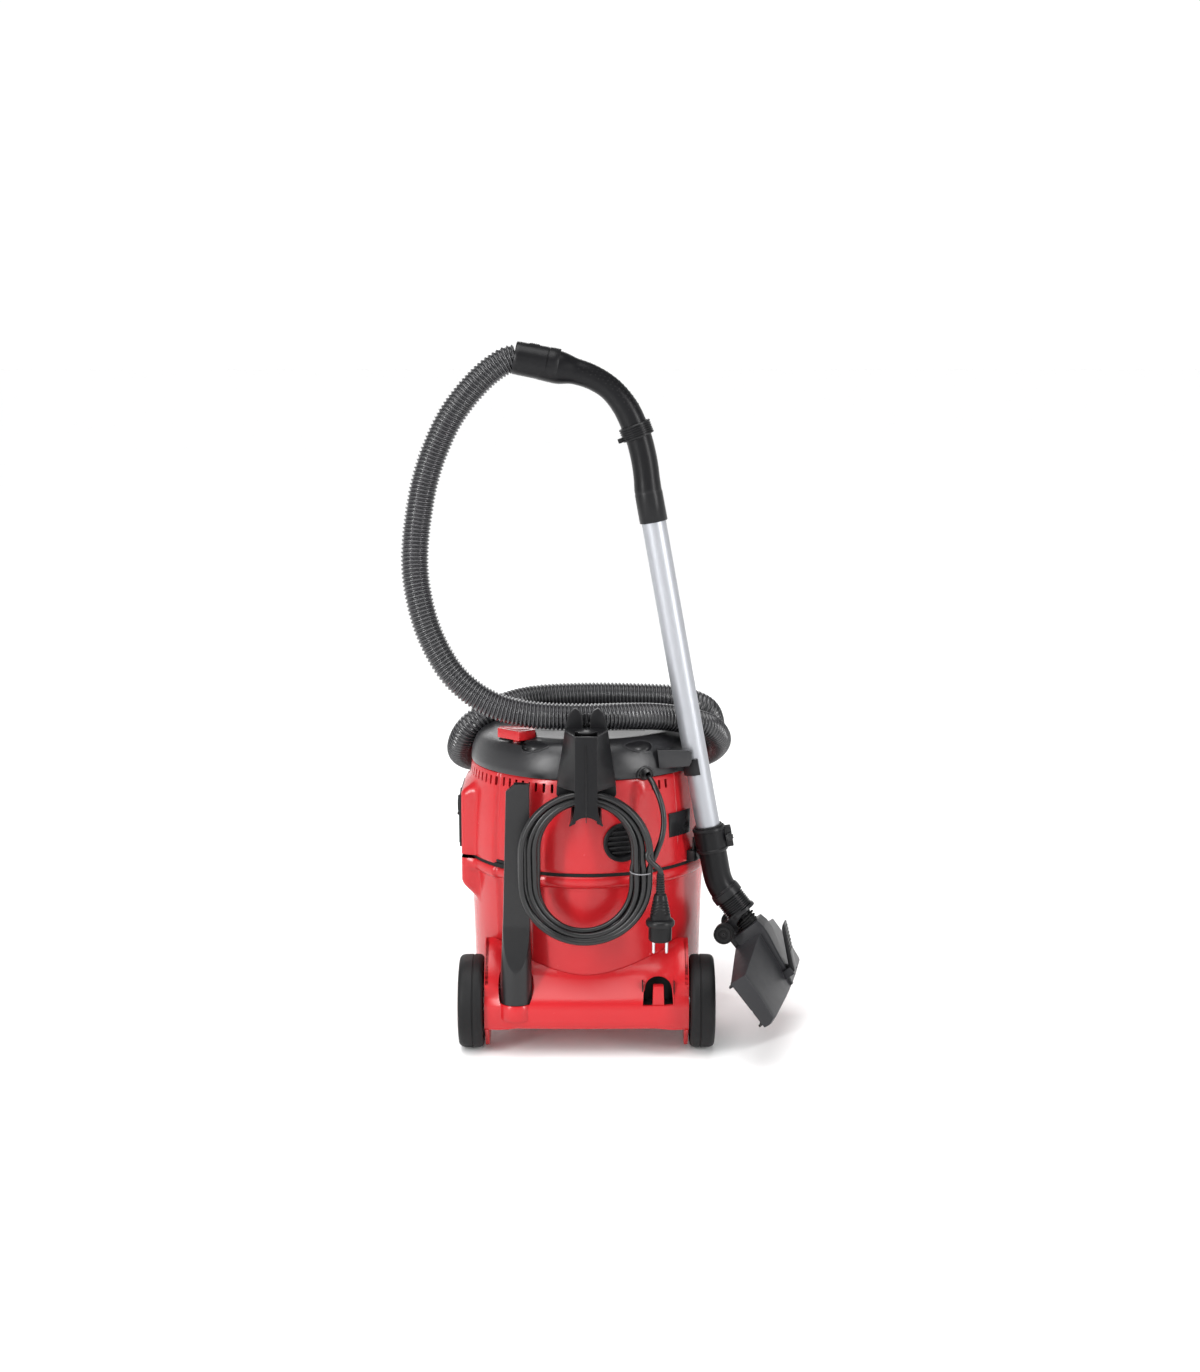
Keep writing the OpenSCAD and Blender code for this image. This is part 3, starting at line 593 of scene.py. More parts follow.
def make_cord():
    coil = coil_points()
    lead = smooth_route([at(*p) for p in LEAD_ROUTE] + [coil[0], coil[6]], 0.004)
    lead = [p for p in lead if p.z > coil[0].z + 0.002]
    tail = smooth_route([coil[-6], coil[-1]] + [at(*p) for p in TAIL_ROUTE], 0.004)
    tail = [p for p in tail if (p - coil[-6]).length > (coil[-1] - coil[-6]).length + 0.002]
    route = even_route(lead + coil + tail, 0.0045)
    cord = sweep("mains_cord", route, lambda s, a: CORD_D / 2, sides=14)
    piece(cord, "head", CORD, ["power_lead", "power_coil", "power_tail"],
          sharp=pi)


# --- shells of tank and head ----------------------------------------------------------
BULGE_X = 0.192
CHANNEL_DEPTH = 0.005
SHELL_STEPS = 480
FLAT_INSIDE = 0.15
VENT_WIDTH = 0.0042


def ease(value, low, high):
    """0 at low, 1 at high, smooth between; low may be above high."""
    t = min(max((value - low) / (high - low), 0), 1)
    return t * t * (3 - 2 * t)


def turned(angle, centre):
    """Degrees from centre, from -180 to 180."""
    return (degrees(angle) - centre + 180) % 360 - 180


def body_relief(angle, z, base):
    """How far the moulded skin stands out of the round body there."""
    off = turned(angle, 180)
    flat = BULGE_X / max(cos(radians(off)), 0.9) - base
    tall = ease(z, 0.203, 0.24) * ease(z, 0.397, 0.374)
    bulge = max(flat, 0) * ease(abs(off), 25, 18.5) * tall
    rear = turned(angle, -128.5)
    channel = -CHANNEL_DEPTH * ease(abs(rear), 11, 8.5) * ease(z, 0.108, 0.13)
    step = turned(angle, -31)
    side = -0.0028 * ease(abs(step), 12, 10.8) * ease(z, 0.3, 0.318)
    spine = 0.0045 * exp(-((turned(angle, -90)) / 3.4) ** 2) * ease(z, 0.296, 0.372) \
        * (z > HEAD_Z)
    drop = 0.0022 * exp(-(turned(angle, -62) / 3.0) ** 2 - ((z - 0.402) / 0.01) ** 2)
    return bulge + channel + side + spine + drop


def polar_shell(name, profile):
    """Revolve a closed (radius, z) outline, with the moulded relief on its walls."""
    points, faces = [], []
    count = len(profile)
    for i in range(SHELL_STEPS):
        a = tau * i / SHELL_STEPS
        for r, z in profile:
            radius = r + (body_relief(a, z, r) if r > FLAT_INSIDE else 0)
            points.append(at(radius * cos(a), radius * sin(a), z))
    for i in range(SHELL_STEPS):
        here, there = i * count, (i + 1) % SHELL_STEPS * count
        for k in range(count):
            m = (k + 1) % count
            faces.append((here + k, there + k, there + m, here + m))
    return mesh_object(name, points, faces)


def fill_in(profile, step):
    """Add points along the outline's straight stretches."""
    dense = []
    for (r0, z0), (r1, z1) in zip(profile, profile[1:] + profile[:1]):
        parts = max(1, round(hypot(r1 - r0, z1 - z0) / step))
        dense += [(r0 + (r1 - r0) * k / parts, z0 + (z1 - z0) * k / parts)
                  for k in range(parts)]
    return dense


def joined(name, objects):
    """One mesh object out of several."""
    work = bmesh.new()
    for obj in objects:
        work.from_mesh(obj.data)
        bpy.data.objects.remove(obj)
    mesh = bpy.data.meshes.new(name)
    work.to_mesh(mesh)
    work.free()
    return add_object(name, mesh)


def make_tank():
    outline = [(0.001, 0.064), (0.15, 0.064), (0.158, 0.0655), (0.1635, 0.069),
               (0.167, 0.076), (0.175, 0.107), (0.178, 0.204), (0.1805, 0.25),
               (0.1815, 0.2555), (0.185, 0.258), (0.187, 0.26), (RIM_R, 0.2635),
               (RIM_R, 0.2675), (0.1872, 0.2715), (0.1845, 0.2742), (0.18, 0.2742),
               (0.1775, 0.272), (0.177, 0.258), (0.1745, 0.204), (0.1715, 0.107),
               (0.1635, 0.078), (0.16, 0.0725), (0.154, 0.0685), (0.001, 0.068)]
    shell = polar_shell("tank_skin", fill_in(outline, 0.006))
    sockets = []
    for x in (-0.1, 0.1):
        socket = lathe("socket", [(0.0051, 0.059), (0.0155, 0.059), (0.017, 0.0605),
                                  (0.017, 0.0645), (0.0051, 0.0645)], 48)
        sockets.append(place(socket, shift(at(x, 0.115, 0))))
    shell = joined("tank_skin", [shell] + sockets)
    piece(shell, "tank", RED, ["tank_shell"])


def slot_cutter(azimuth, low, high):
    """A rounded upright slot through the wall."""
    half = VENT_WIDTH / 2
    outline = [(half, high), (-half, high)]
    outline += [(half * cos(pi + pi * k / 6), low + half * sin(pi + pi * k / 6))
                for k in range(7)]
    return place(prism("slot", outline, -0.02, 0.03), side_frame(azimuth, 0.176, 0))


def make_head():
    outline = [(0.1862, HEAD_Z), (0.187, HEAD_Z + 0.0012), (0.187, 0.3),
               (0.185, 0.345), (0.181, 0.395), (0.1785, 0.4145), (0.177, 0.4172),
               (0.1745, HEAD_TOP_Z), (0.001, HEAD_TOP_Z), (0.001, HEAD_TOP_Z - 0.004),
               (0.174, HEAD_TOP_Z - 0.004), (0.1775, 0.395), (0.1815, 0.345),
               (0.1835, 0.3), (0.1835, HEAD_Z)]
    shell = polar_shell("head_skin", fill_in(outline, 0.005))
    vents = [-172 + 4.1 * k for k in range(18)] + [-82, -78, -57, -53, -49]
    slots = joined("slots", [slot_cutter(a, 0.4005, 0.412) for a in vents])
    port = place(rod("port", 0.026, -0.03, 0.03), side_frame(GRILLE_ANGLE, 0.178, GRILLE_Z))
    inlet = place(rod("inlet", 0.0272, -0.03, 0.03), side_frame(63, 0.178, 0.322))
    outlet = place(rod("outlet", 0.0212, -0.04, 0.02), shift(
        at(-0.185, 0, 0.312)) @ turn(-pi / 2, "Y"))
    stem = place(rod("stem", 0.0065, -0.01, 0.01),
                 shift(at(*STEM_AT, HEAD_TOP_Z)))
    cut(shell, [slots, port, inlet, outlet, stem])
    piece(shell, "head", RED, ["head_shell", "control_pod"])


# --- cover ----------------------------------------------------------------------------
BUTTON = [(-0.1335, -0.106), (-0.1005, -0.136), (-0.076, -0.121), (-0.078, -0.09),
          (-0.13, -0.09)]


def grown(outline, distance):
    """The outline with its corners moved away from the middle."""
    cx = sum(x for x, y in outline) / len(outline)
    cy = sum(y for x, y in outline) / len(outline)
    return [(x + distance * (x - cx) / hypot(x - cx, y - cy) * 1.3,
             y + distance * (y - cy) / hypot(x - cx, y - cy) * 1.3) for x, y in outline]


def teardrop(name, side, swell):
    """A finger scoop: an egg that is blunt on its outer side."""
    egg = []
    for i in range(1, 24):
        u = -cos(pi * i / 24)
        r = (1 - u * u) ** 0.5
        egg.append([Vector((u * (0.0225 + swell),
                            (0.0088 + swell) * r * (1 + 0.42 * u) * cos(tau * k / 40),
                            (0.0135 + swell) * r * (1 + 0.3 * u) * sin(tau * k / 40)))
                    for k in range(40)])
    seat = (shift(at(side * 0.0765, -0.1462, 0.4655))
            @ turn(side * radians(26), "Z") @ turn(side * radians(9), "Y")
            @ turn(radians(38), "X"))
    return place(loft(name, egg), seat @ Matrix.Diagonal((side, 1, 1, 1)))


COVER_OUTER = [(0.1778, 0.4188), (0.1788, 0.4205), (0.1786, 0.428), (0.1775, 0.436),
               (0.1748, 0.4455), (0.1705, 0.4535), (0.164, 0.4605), (0.156, 0.4655),
               (0.147, 0.469), (0.1445, 0.4712), (0.14, 0.4728), (0.132, 0.4738),
               (0.12, DECK_Z), (0.001, DECK_Z)]


def fuller(obj):
    """Lift the shoulder on the rear side, where the deck runs farther out."""
    for vertex in obj.data.vertices:
        x, y = vertex.co.x, vertex.co.y
        r = hypot(x, y)
        if r > 0.13:
            off = abs(turned(atan2(y, x), -90))
            vertex.co.z += 0.0046 * ease(off, 62, 38) * ease(r, 0.132, 0.156) \
                * ease(r, 0.1765, 0.164)
    return obj


def cover_solid(rise):
    """The cover as a full body, raised a little all over."""
    outline = [(r + 0.6 * rise if r > 0.1 else r, z + rise) for r, z in COVER_OUTER]
    outline = fill_in([(0.001, 0.4188), (0.15, 0.4188)] + outline, 0.008)
    return place(fuller(lathe("cover_solid", outline, 256)), MACHINE)


def make_cover():
    cover = cover_solid(0)
    rims = []
    for side in (-1, 1):
        rim = teardrop("rim", side, 0.0022)
        cut(rim, [cover_solid(0.0009)], "INTERSECT")
        rims.append(rim)
    cut(cover, rims, "UNION")
    hollow = lathe("hollow", [(0.0005, 0.41), (0.1742, 0.41), (0.1742, 0.432),
                              (0.171, 0.442), (0.162, 0.45), (0.146, 0.456),
                              (0.131, 0.459), (0.0005, 0.459)], 96)
    place(hollow, MACHINE)
    cut(hollow, [teardrop("keep", side, 0.0022) for side in (-1, 1)])
    cutters = [hollow, place(prism("well", grown(BUTTON, 0.0018), 0.463, 0.5), MACHINE)]
    for x in (-0.069, 0.034):
        for y in (-0.078, -0.062):
            cutters.append(place(block("groove", (x, y, DECK_Z - 0.0013),
                                       (x + 0.054, y + 0.0025, 0.5)), MACHINE))
    cutters += [teardrop("scoop", side, 0) for side in (-1, 1)]
    gland_way = side_frame(GLAND_ANGLE, 0.176, 0.4215)
    cutters.append(place(rod("gland_way", 0.0122, -0.03, 0.03), gland_way))
    cut(cover, cutters)
    arch = [gland_way @ Vector((0.0132 * cos(pi * k / 20), 0.0132 * sin(pi * k / 20), 0.0035))
            for k in range(-1, 22)]
    arch = sweep("arch", arch, lambda s, a: 0.0016, 10)
    cover = joined("cover_skin", [cover, arch])
    piece(cover, "head", COVER, ["top_cover"])


def make_button():
    top = 0.4838
    body = prism("button_skin", BUTTON, 0.4695, top)
    bevel(body, 0.0012, 3)
    raised = prism("raised", grown(BUTTON, -0.0075), top - 0.0008, top + 0.0009)
    bevel(raised, 0.0006, 2)
    stem = place(rod("stem", 0.006, 0.404, 0.471, 32), shift((*STEM_AT, 0)))
    button = place(joined("button_skin", [body, raised, stem]), MACHINE)
    piece(button, "clean_button", RED, ["clean_button"])


# --- rear bracket ---------------------------------------------------------------------
def upright(name, outline, rear, front):
    """An outline in X, Z, from y = rear to y = front."""
    made = prism(name, [(x, z) for x, z in outline], -front, -rear)
    return place(made, turn(pi / 2, "X"))


def bracket_side(side):
    """Wing, flank, fork fin and cord arm on one side."""
    wings = [(-0.044, 0.402), (-0.0432, 0.416), (-0.015, 0.416), (-0.015, 0.392),
             (-0.03, 0.3915), (-0.038, 0.3935)]
    outline = wings if side < 0 else [(-x, z) for x, z in wings][::-1]
    parts = [upright("wing", outline, -0.197, -0.19)]
    # slanted flank from the wing out to the middle panel
    flank = []
    for z, outer in ((0.414, 0.0435), (0.44, 0.04), (0.47, 0.0352),
                     (0.496, 0.0315)):
        flank.append([Vector(p) for p in (
            (side * outer, -0.1935, z), (side * 0.0162, -0.2345, z),
            (side * 0.0162, -0.186, z), (side * outer, -0.18, z))])
    parts.append(loft("flank", flank))
    # fin of the hose fork, with a folded pointed top
    fin = [(side * x, z) for x, z in
           ((0.0316, 0.484), (0.0292, 0.506), (0.0245, 0.5185), (0.017, 0.5255),
            (0.0105, 0.5215), (0.007, 0.5155), (0.0055, 0.5), (0.0052, 0.484))]
    parts.append(upright("fin", fin if side < 0 else fin[::-1], -0.17, -0.161))
    # arm that the turns of cord hang on, with an upturned tip
    arm = [Vector((side * 0.0185, -0.19, 0.383)), Vector((side * 0.0185, -0.204, 0.376)),
           Vector((side * 0.019, -0.22, 0.3715)), Vector((side * 0.019, -0.236, 0.37))]
    parts.append(sweep("arm", smooth_route(arm, 0.003), lambda s, a: 0.004, 12))
    return parts


def make_bracket():
    parts = bracket_side(-1) + bracket_side(1)
    shelf = block("shelf", (-0.0305, -0.192, 0.485), (0.0305, -0.161, 0.4955))
    parts += [shelf, block("saddle", (-0.03, -0.189, 0.426), (0.03, -0.177, 0.444))]
    foot = [(-0.025, 0.3655), (-0.0238, 0.364)]
    foot += [(-0.02 + 0.04 * k / 16, 0.3665 + 0.011 * sin(pi * k / 16) ** 0.7)
             for k in range(17)]
    foot += [(0.0238, 0.364), (0.025, 0.3655), (0.02, 0.375), (0.0175, 0.385)]
    panel = foot + [(0.0165, 0.395), (0.0162, 0.4965), (-0.0162, 0.4965),
                    (-0.0165, 0.395), (-0.0175, 0.385), (-0.02, 0.375)]
    parts.append(upright("panel", panel, -0.2395, -0.2345))
    rib = [(-0.0007, 0.37), (0.0007, 0.37), (0.0007, 0.478), (-0.0007, 0.486)]
    parts.append(upright("rib", rib, -0.2412, -0.239))
    lens = lathe("lens", [(0.001, 0.0), (0.0115, 0.0), (0.012, 0.0012), (0.0105, 0.0024),
                          (0.001, 0.0034)], 40)
    place(lens, shift((0, -0.2, 0.4958)) @ Matrix.Diagonal((1.1, 1.5, 1, 1)))
    for part in parts:
        bevel(part, 0.0013, 3)
    bracket = place(joined("bracket_skin", parts + [lens]), MACHINE)
    piece(bracket, "head", BLACK, ["rear_bracket"])


# --- chassis --------------------------------------------------------------------------
def platform(x):
    """The platform's outline at x, as (y, z): its top first, then its underside."""
    rise = ease(abs(x), 0.106, 0.144)
    back = 0.0075 * ease(abs(x), 0.109, 0.152)
    bow = 0.0045 * (1 - (x / CHASSIS_HALF) ** 2) - back
    belly = 0.0455 - 0.0045 * ease(abs(x), 0.1, 0.14)
    top = [(-0.098, 0.146 + 0.01 * rise), (-0.112, 0.147 + 0.014 * rise),
           (-0.124, 0.1475 + 0.0165 * rise), (-0.138, 0.1455 + 0.0165 * rise),
           (-0.15, 0.142 + 0.0145 * rise), (-0.162, 0.135 + 0.012 * rise),
           (-0.172, 0.127 + 0.009 * rise), (-0.181, 0.1165 + 0.007 * rise),
           (-0.189, 0.104 + 0.005 * rise), (-0.195 - bow, 0.0945 + 0.003 * rise),
           (-0.1995 - bow, 0.0885), (-0.2025 - bow, 0.083), (-0.2038 - bow, 0.0765),
           (-0.2036 - bow, 0.06), (-0.2025 - bow, 0.05), (-0.2005 - bow, belly + 0.0015),
           (-0.1965 - bow, belly)]
    under = [(-0.192 - bow, belly), (-0.1965 - bow, 0.05), (-0.1985 - bow, 0.076),
             (-0.1955 - bow, 0.085), (-0.19, 0.092 + 0.003 * rise),
             (-0.18, 0.109 + 0.006 * rise), (-0.168, 0.123 + 0.009 * rise),
             (-0.15, 0.135 + 0.013 * rise), (-0.13, 0.14 + 0.015 * rise),
             (-0.098, 0.14 + 0.01 * rise)]
    return top, under


def chassis_side(side):
    """Side wall under the platform, with the lug beside the wheel, and the axle's hub."""
    lug = [(-0.196, 0.0425), (-0.18, 0.03), (-0.168, 0.013), (-0.163, 0.008),
           (-0.124, 0.008), (-0.118, 0.014), (-0.1, 0.06)]
    wall = platform(CHASSIS_HALF)[0][:-1] + lug
    low, high = sorted((side * 0.1462, side * 0.1523))
    wall = place(prism("wall", wall, low, high), turn(pi / 2, "Z") @ turn(pi / 2, "X"))
    bevel(wall, 0.0012, 2)
    hub = place(lathe("hub", [(0.0062, 0.118), (0.016, 0.118), (0.018, 0.121),
                              (0.018, 0.146), (0.0062, 0.146)], 40),
                shift((0, -0.14, 0.07)) @ turn(side * pi / 2, "Y"))
    return [wall, hub]


def make_chassis():
    """A platform lofted across the machine, whose top rises to the wheel cheeks."""
    sections = []
    for i in range(73):
        x = -CHASSIS_HALF + 2 * CHASSIS_HALF * i / 72
        top, under = platform(x)
        sections.append([Vector((x, y, z)) for y, z in top + under])
    shell = loft("chassis_skin", sections)
    room = place(rod("room", 0.0264, 0.0835, 0.2, 64), shift(PEG_AT))
    arch = [(0.0835, 0.0825), (0.13, 0.0825), (0.1285, 0.101)]
    arch += [(0.1068 + 0.021 * cos(pi * k / 14), 0.104 + 0.017 * sin(pi * k / 14))
             for k in range(1, 14)] + [(0.085, 0.101)]
    bay = upright("bay", arch, -0.23, -0.168)
    cut(shell, [rod("tank_room", 0.1772, 0.03, 0.2, 192)])
    cut(shell, [room, bay])
    parts = [shell] + chassis_side(-1) + chassis_side(1)
    seat = place(lathe("seat", [(0.001, 0.06), (0.025, 0.06), (0.0262, 0.062),
                                (0.0262, 0.0825), (0.0252, 0.084), (0.0195, 0.084),
                                (0.0195, 0.104), (0.018, 0.1058), (0.001, 0.1058)], 64),
                 shift(PEG_AT))
    tongue = upright("tongue", [(0.0975, 0.07), (0.116, 0.07), (0.1145, 0.112),
                                (0.099, 0.112)], -0.202, -0.188)
    bevel(tongue, 0.0015, 2)
    lip = smooth_route([Vector((x, -0.2005 + max(z - 0.087, 0) * 0.66, z))
                        for x, z in arch[1:]], 0.002)
    lip = sweep("lip", lip, lambda s, a: 0.0011, 8)
    body = place(joined("chassis_skin", parts + [seat, tongue, lip]), MACHINE)
    piece(body, "tank", RED, ["chassis"])
    # Painted shade: a dark rubber-coloured box inside the bay, where the red moulding only lies in
    # shadow
    bay_shade_box = upright("bay_painted_shade", [(0.0825, 0.08), (0.131, 0.08), (0.131, 0.115),
                                    (0.118, 0.123), (0.096, 0.123), (0.0825, 0.115)],
                     -0.1925, -0.165)
    hollow = upright("hollow", [(0.084, 0.0815), (0.1295, 0.0815), (0.1295, 0.13),
                                (0.084, 0.13)], -0.3, -0.1665)
    cut(bay_shade_box, [hollow])
    piece(place(bay_shade_box, MACHINE), "tank", SEAL, ())


# --- wheels ---------------------------------------------------------------------------
WHEEL_R = 0.07
WHEEL_OUT = 0.193
WHEEL_W = 0.045
AXLE_Y = -0.14


def wheel_frame(side):
    return (shift(at(side * (WHEEL_OUT - WHEEL_W), AXLE_Y, WHEEL_R))
            @ turn(side * pi / 2, "Y"))


def make_wheels():
    r = WHEEL_R
    tread = [(0.057, 0.0088), (0.061, 0.007), (0.065, 0.0074), (0.0676, 0.009),
             (0.0692, 0.0112), (0.0698, 0.014), (r, 0.021), (0.069, 0.0217),
             (0.069, 0.0229), (r, 0.0236), (0.0698, 0.035), (0.069, 0.0392),
             (0.0672, 0.042), (0.0645, 0.0436), (0.0615, 0.044), (0.057, 0.0425)]
    rim = [(0.00606, 0.008), (0.015, 0.008), (0.0162, 0.0092), (0.0172, 0.017),
           (0.0485, 0.018), (0.0512, 0.011), (0.053, 0.0095), (0.057, 0.0095),
           (0.057, 0.0405), (0.053, 0.042), (0.0512, 0.04), (0.0485, 0.029),
           (0.0175, 0.027), (0.0162, 0.0405), (0.015, 0.0418), (0.00606, 0.0418)]
    for side, word in ((-1, "left"), (1, "right")):
        tyre = place(lathe(word + "_tyre_skin", tread, 160), wheel_frame(side))
        piece(tyre, word + "_wheel", RUBBER, [word + "_tyre"])
        disc = lathe("disc", rim, 128)
        holes = []
        for k in range(6):
            hole = prism("hole", almond_slot(0.0225, 0.0445, 0.36), 0.0, 0.05)
            holes.append(place(hole, turn(tau * k / 6, "Z")))
        cut(disc, [joined("holes", holes)])
        cap = lathe("cap", [(0.001, 0.0436), (0.009, 0.0432), (0.012, 0.0424),
                            (0.0128, 0.0412), (0.01, 0.0412), (0.001, 0.0426)], 40)
        wheel = place(joined(word + "_rim_skin", [disc, cap]), wheel_frame(side))
        piece(wheel, word + "_wheel", GREY, [word + "_wheel_rim"])


def almond_slot(inner, outer, spread):
    """A window between two radii, for the wheel's spokes."""
    near = spread * 0.55
    angles = [(inner, -near + 2 * near * k / 6) for k in range(7)]
    angles += [(outer, spread - 2 * spread * k / 10) for k in range(11)]
    return [(r * cos(a), r * sin(a)) for r, a in angles]


# --- wand, handle and neck ------------------------------------------------------------
def make_tube():
    tube = lathe("tube_skin", [(0.0165, 0.0), (TUBE_R, 0.0), (TUBE_R, 0.495),
                               (TUBE_R, 0.54), (0.0165, 0.54)], 72)
    piece(place(tube, wand_frame(0.3)), "wand", TUBE, ["wand_tube"])


GRIP_ROUTE = [
    (0.0905, -0.115, 0.838), (0.086, -0.115, 0.876), (0.079, -0.115, 0.908),
    (0.07, -0.115, 0.934), (0.056, -0.115, 0.962), (0.035, -0.115, 0.987),
    (0.008, -0.115, 1.004), (-0.019, -0.115, 1.013), (-0.05, -0.115, 1.02),
    (-0.066, -0.115, 1.024),
]
RING_FRAME = shift(at(0.073, -0.115, 0.9266)) @ turn(radians(-21), "Y")
CUFF_FRAME = shift(at(-0.057, -0.115, 1.023)) @ turn(radians(-79), "Y")


def grip_dots(route, radius):
    """Raised dots on the outer side of the curved grip."""
    total = route_length(route)
    dots = []
    spaced = even_route(route, 0.0062)
    for i, point in enumerate(spaced):
        if 0.44 < i / len(spaced) < 0.84:
            ahead = (spaced[i + 1] - spaced[i - 1]).normalized()
            outward = Vector((0, 1, 0)).cross(ahead).normalized()
            if outward.z < 0:
                outward = -outward
            for k in range(-3, 4):
                angle = radians(17 * k + 8.5 * (i % 2) - 30)
                aim = outward * cos(angle) + Vector((0, 1, 0)) * sin(angle)
                foot = point + aim * (radius(total * i / len(spaced), 0) - 0.0004)
                dot = lathe("dot", [(0.0001, 0.0009), (0.0007, 0.0007), (0.0012, 0.0)], 10,
                            closed=False)
                place(dot, shift(foot)
                      @ aim.to_track_quat("Z", "Y").to_matrix().to_4x4())
                dots.append(dot)
    return dots


def make_handle():
    route = smooth_route([at(*p) for p in GRIP_ROUTE], 0.004)
    total = route_length(route)

    def radius(s, angle):
        t = s / total
        waist = 0.0016 * sin(pi * min(max((t - 0.38) / 0.5, 0), 1)) ** 2
        return (0.0192 - waist + 0.0008 * ease(t, 0.08, 0.0)
                + 0.005 * ease(t, 0.8, 0.91))

    grip = sweep("grip", route, radius, 48)
    socket = place(lathe("socket", [(0.0181, 0.0), (0.02, 0.0), (0.0207, 0.001),
                                    (0.0205, 0.042), (0.0196, 0.047), (0.0181, 0.047)],
                         72), wand_frame(0.794))
    handle = joined("handle_skin", [grip, socket] + grip_dots(route, radius))
    piece(handle, "wand", BLACK, ["handle_grip"])


def make_relief_ring():
    band = [(0.021, -0.01), (0.023, -0.01), (0.024, -0.0088)]
    for k in range(5):
        z = -0.007 + 0.0032 * k
        band += [(0.024, z - 0.0006), (0.0231, z), (0.0231, z + 0.0009), (0.024, z + 0.0015)]
    band += [(0.024, 0.0088), (0.023, 0.01), (0.021, 0.01)]
    ring = lathe("ring", band, 72)
    tab = block("tab", (-0.0305, -0.0045, -0.0088), (-0.0225, 0.0045, -0.0018))
    bevel(tab, 0.001, 2)
    ring = place(joined("relief_ring_skin", [ring, tab]), RING_FRAME)
    piece(ring, "relief_ring", BLACK, ["relief_ring"])


def make_cuff():
    sleeve = [(0.0194, -0.017), (0.0242, -0.017), (0.025, -0.016), (0.0252, -0.008),
              (0.0248, -0.0012), (0.0241, -0.0006), (0.0241, 0.0004), (0.0247, 0.001),
              (0.0242, 0.042), (0.024, 0.047), (0.023, 0.0482), (0.0194, 0.0482)]
    cuff = lathe("cuff_skin", sleeve, 72)
    pocket = block("pocket", (0.018, -0.0068, 0.0132), (0.03, 0.0068, 0.0308))
    cut(cuff, [pocket])
    piece(place(cuff, CUFF_FRAME), "wand", BLACK, ["hose_cuff"])
    key = block("cuff_key", (0.0205, -0.006, 0.014), (0.0248, 0.006, 0.03))
    ridges = [block("ridge", (0.0245, -0.0045, 0.0165 + 0.003 * k),
                    (0.0254, 0.0045, 0.0177 + 0.003 * k)) for k in range(4)]
    bevel(key, 0.0008, 2)
    key = place(joined("cuff_key", [key] + ridges), CUFF_FRAME)
    piece(key, "cuff_button", GREY, ["cuff_button"])


def make_elbow():
    """Socket around the tube, then a smooth bend into the neck."""
    top = wand_frame(0.337).translation
    down = (at(*BEND) - top).normalized()
    start = at(*BEND) - down * 0.02
    end = NECK @ Vector((0, 0, 0.014))
    route = [top.lerp(start, k / 9) for k in range(9)]
    for k in range(15):
        t = k / 14
        route.append((1 - t) ** 2 * start + 2 * t * (1 - t) * at(*BEND) + t * t * end)
    route = even_route(route, 0.003)
    outer = sweep("elbow", route, lambda s, a: 0.021 + 0.001 * ease(s, 0.105, 0.11), 56)
    mouth = place(lathe("mouth", [(0.017, 0.0118), (0.0222, 0.0118), (0.0228, 0.0126),
                                  (0.0228, 0.0142), (0.017, 0.0142)], 64), NECK)
    elbow = joined("elbow_skin", [outer, mouth])
    piece(elbow, "wand", BLACK, ["neck_elbow"])


def make_clamp():
    """Split ring round the tube, with the hook that hangs in the dock."""
    band = [(0.0211, -0.0185), (0.0236, -0.0185), (0.0246, -0.0172), (0.0246, -0.014),
            (0.0238, -0.013), (0.0238, 0.013), (0.0246, 0.014), (0.0246, 0.0172),
            (0.0236, 0.0185), (0.0211, 0.0185)]
    ring = lathe("clamp", band, 72)
    ears = [block("ear", (0.0215, -0.0075, -0.016), (0.033, -0.002, 0.015)),
            block("ear", (0.0215, 0.002, -0.016), (0.033, 0.0075, 0.015))]
    for ear in ears:
        bevel(ear, 0.0015, 2)
    ring = place(joined("clamp", [ring] + ears), wand_frame(CLAMP_Z))
    hook = place(block("hook", (0.193, -0.008, 0.287), (0.196, 0.008, 0.316)),
                 MACHINE @ turn(radians(-32), "Z"))
    arm = place(block("arm", (0.193, -0.008, 0.309), (0.201, 0.008, 0.316)),
                MACHINE @ turn(radians(-32), "Z"))
    clamp = joined("clamp_skin", [ring, hook, arm])
    piece(clamp, "wand", BLACK, ["clamp_ring"])


def make_clamp_screw():
    """Star knob and screw that draw the clamp's ears together."""
    star = [((0.0068 if k % 2 else 0.0052) * cos(tau * k / 16),
             (0.0068 if k % 2 else 0.0052) * sin(tau * k / 16)) for k in range(16)]
    knob = prism("knob", star, 0.0078, 0.0128)
    bevel(knob, 0.0008, 2)
    screw = rod("screw", 0.002, -0.0118, 0.0145, 24)
    head = rod("head", 0.0036, -0.0118, -0.008, 6)
    screw = place(joined("clamp_screw_skin", [knob, screw, head]),
                  wand_frame(CLAMP_Z) @ shift((0.0285, 0, 0))
                  @ turn(pi / 2, "X"))
    piece(screw, "wand", BLACK_GLOSS, ["clamp_screw"])


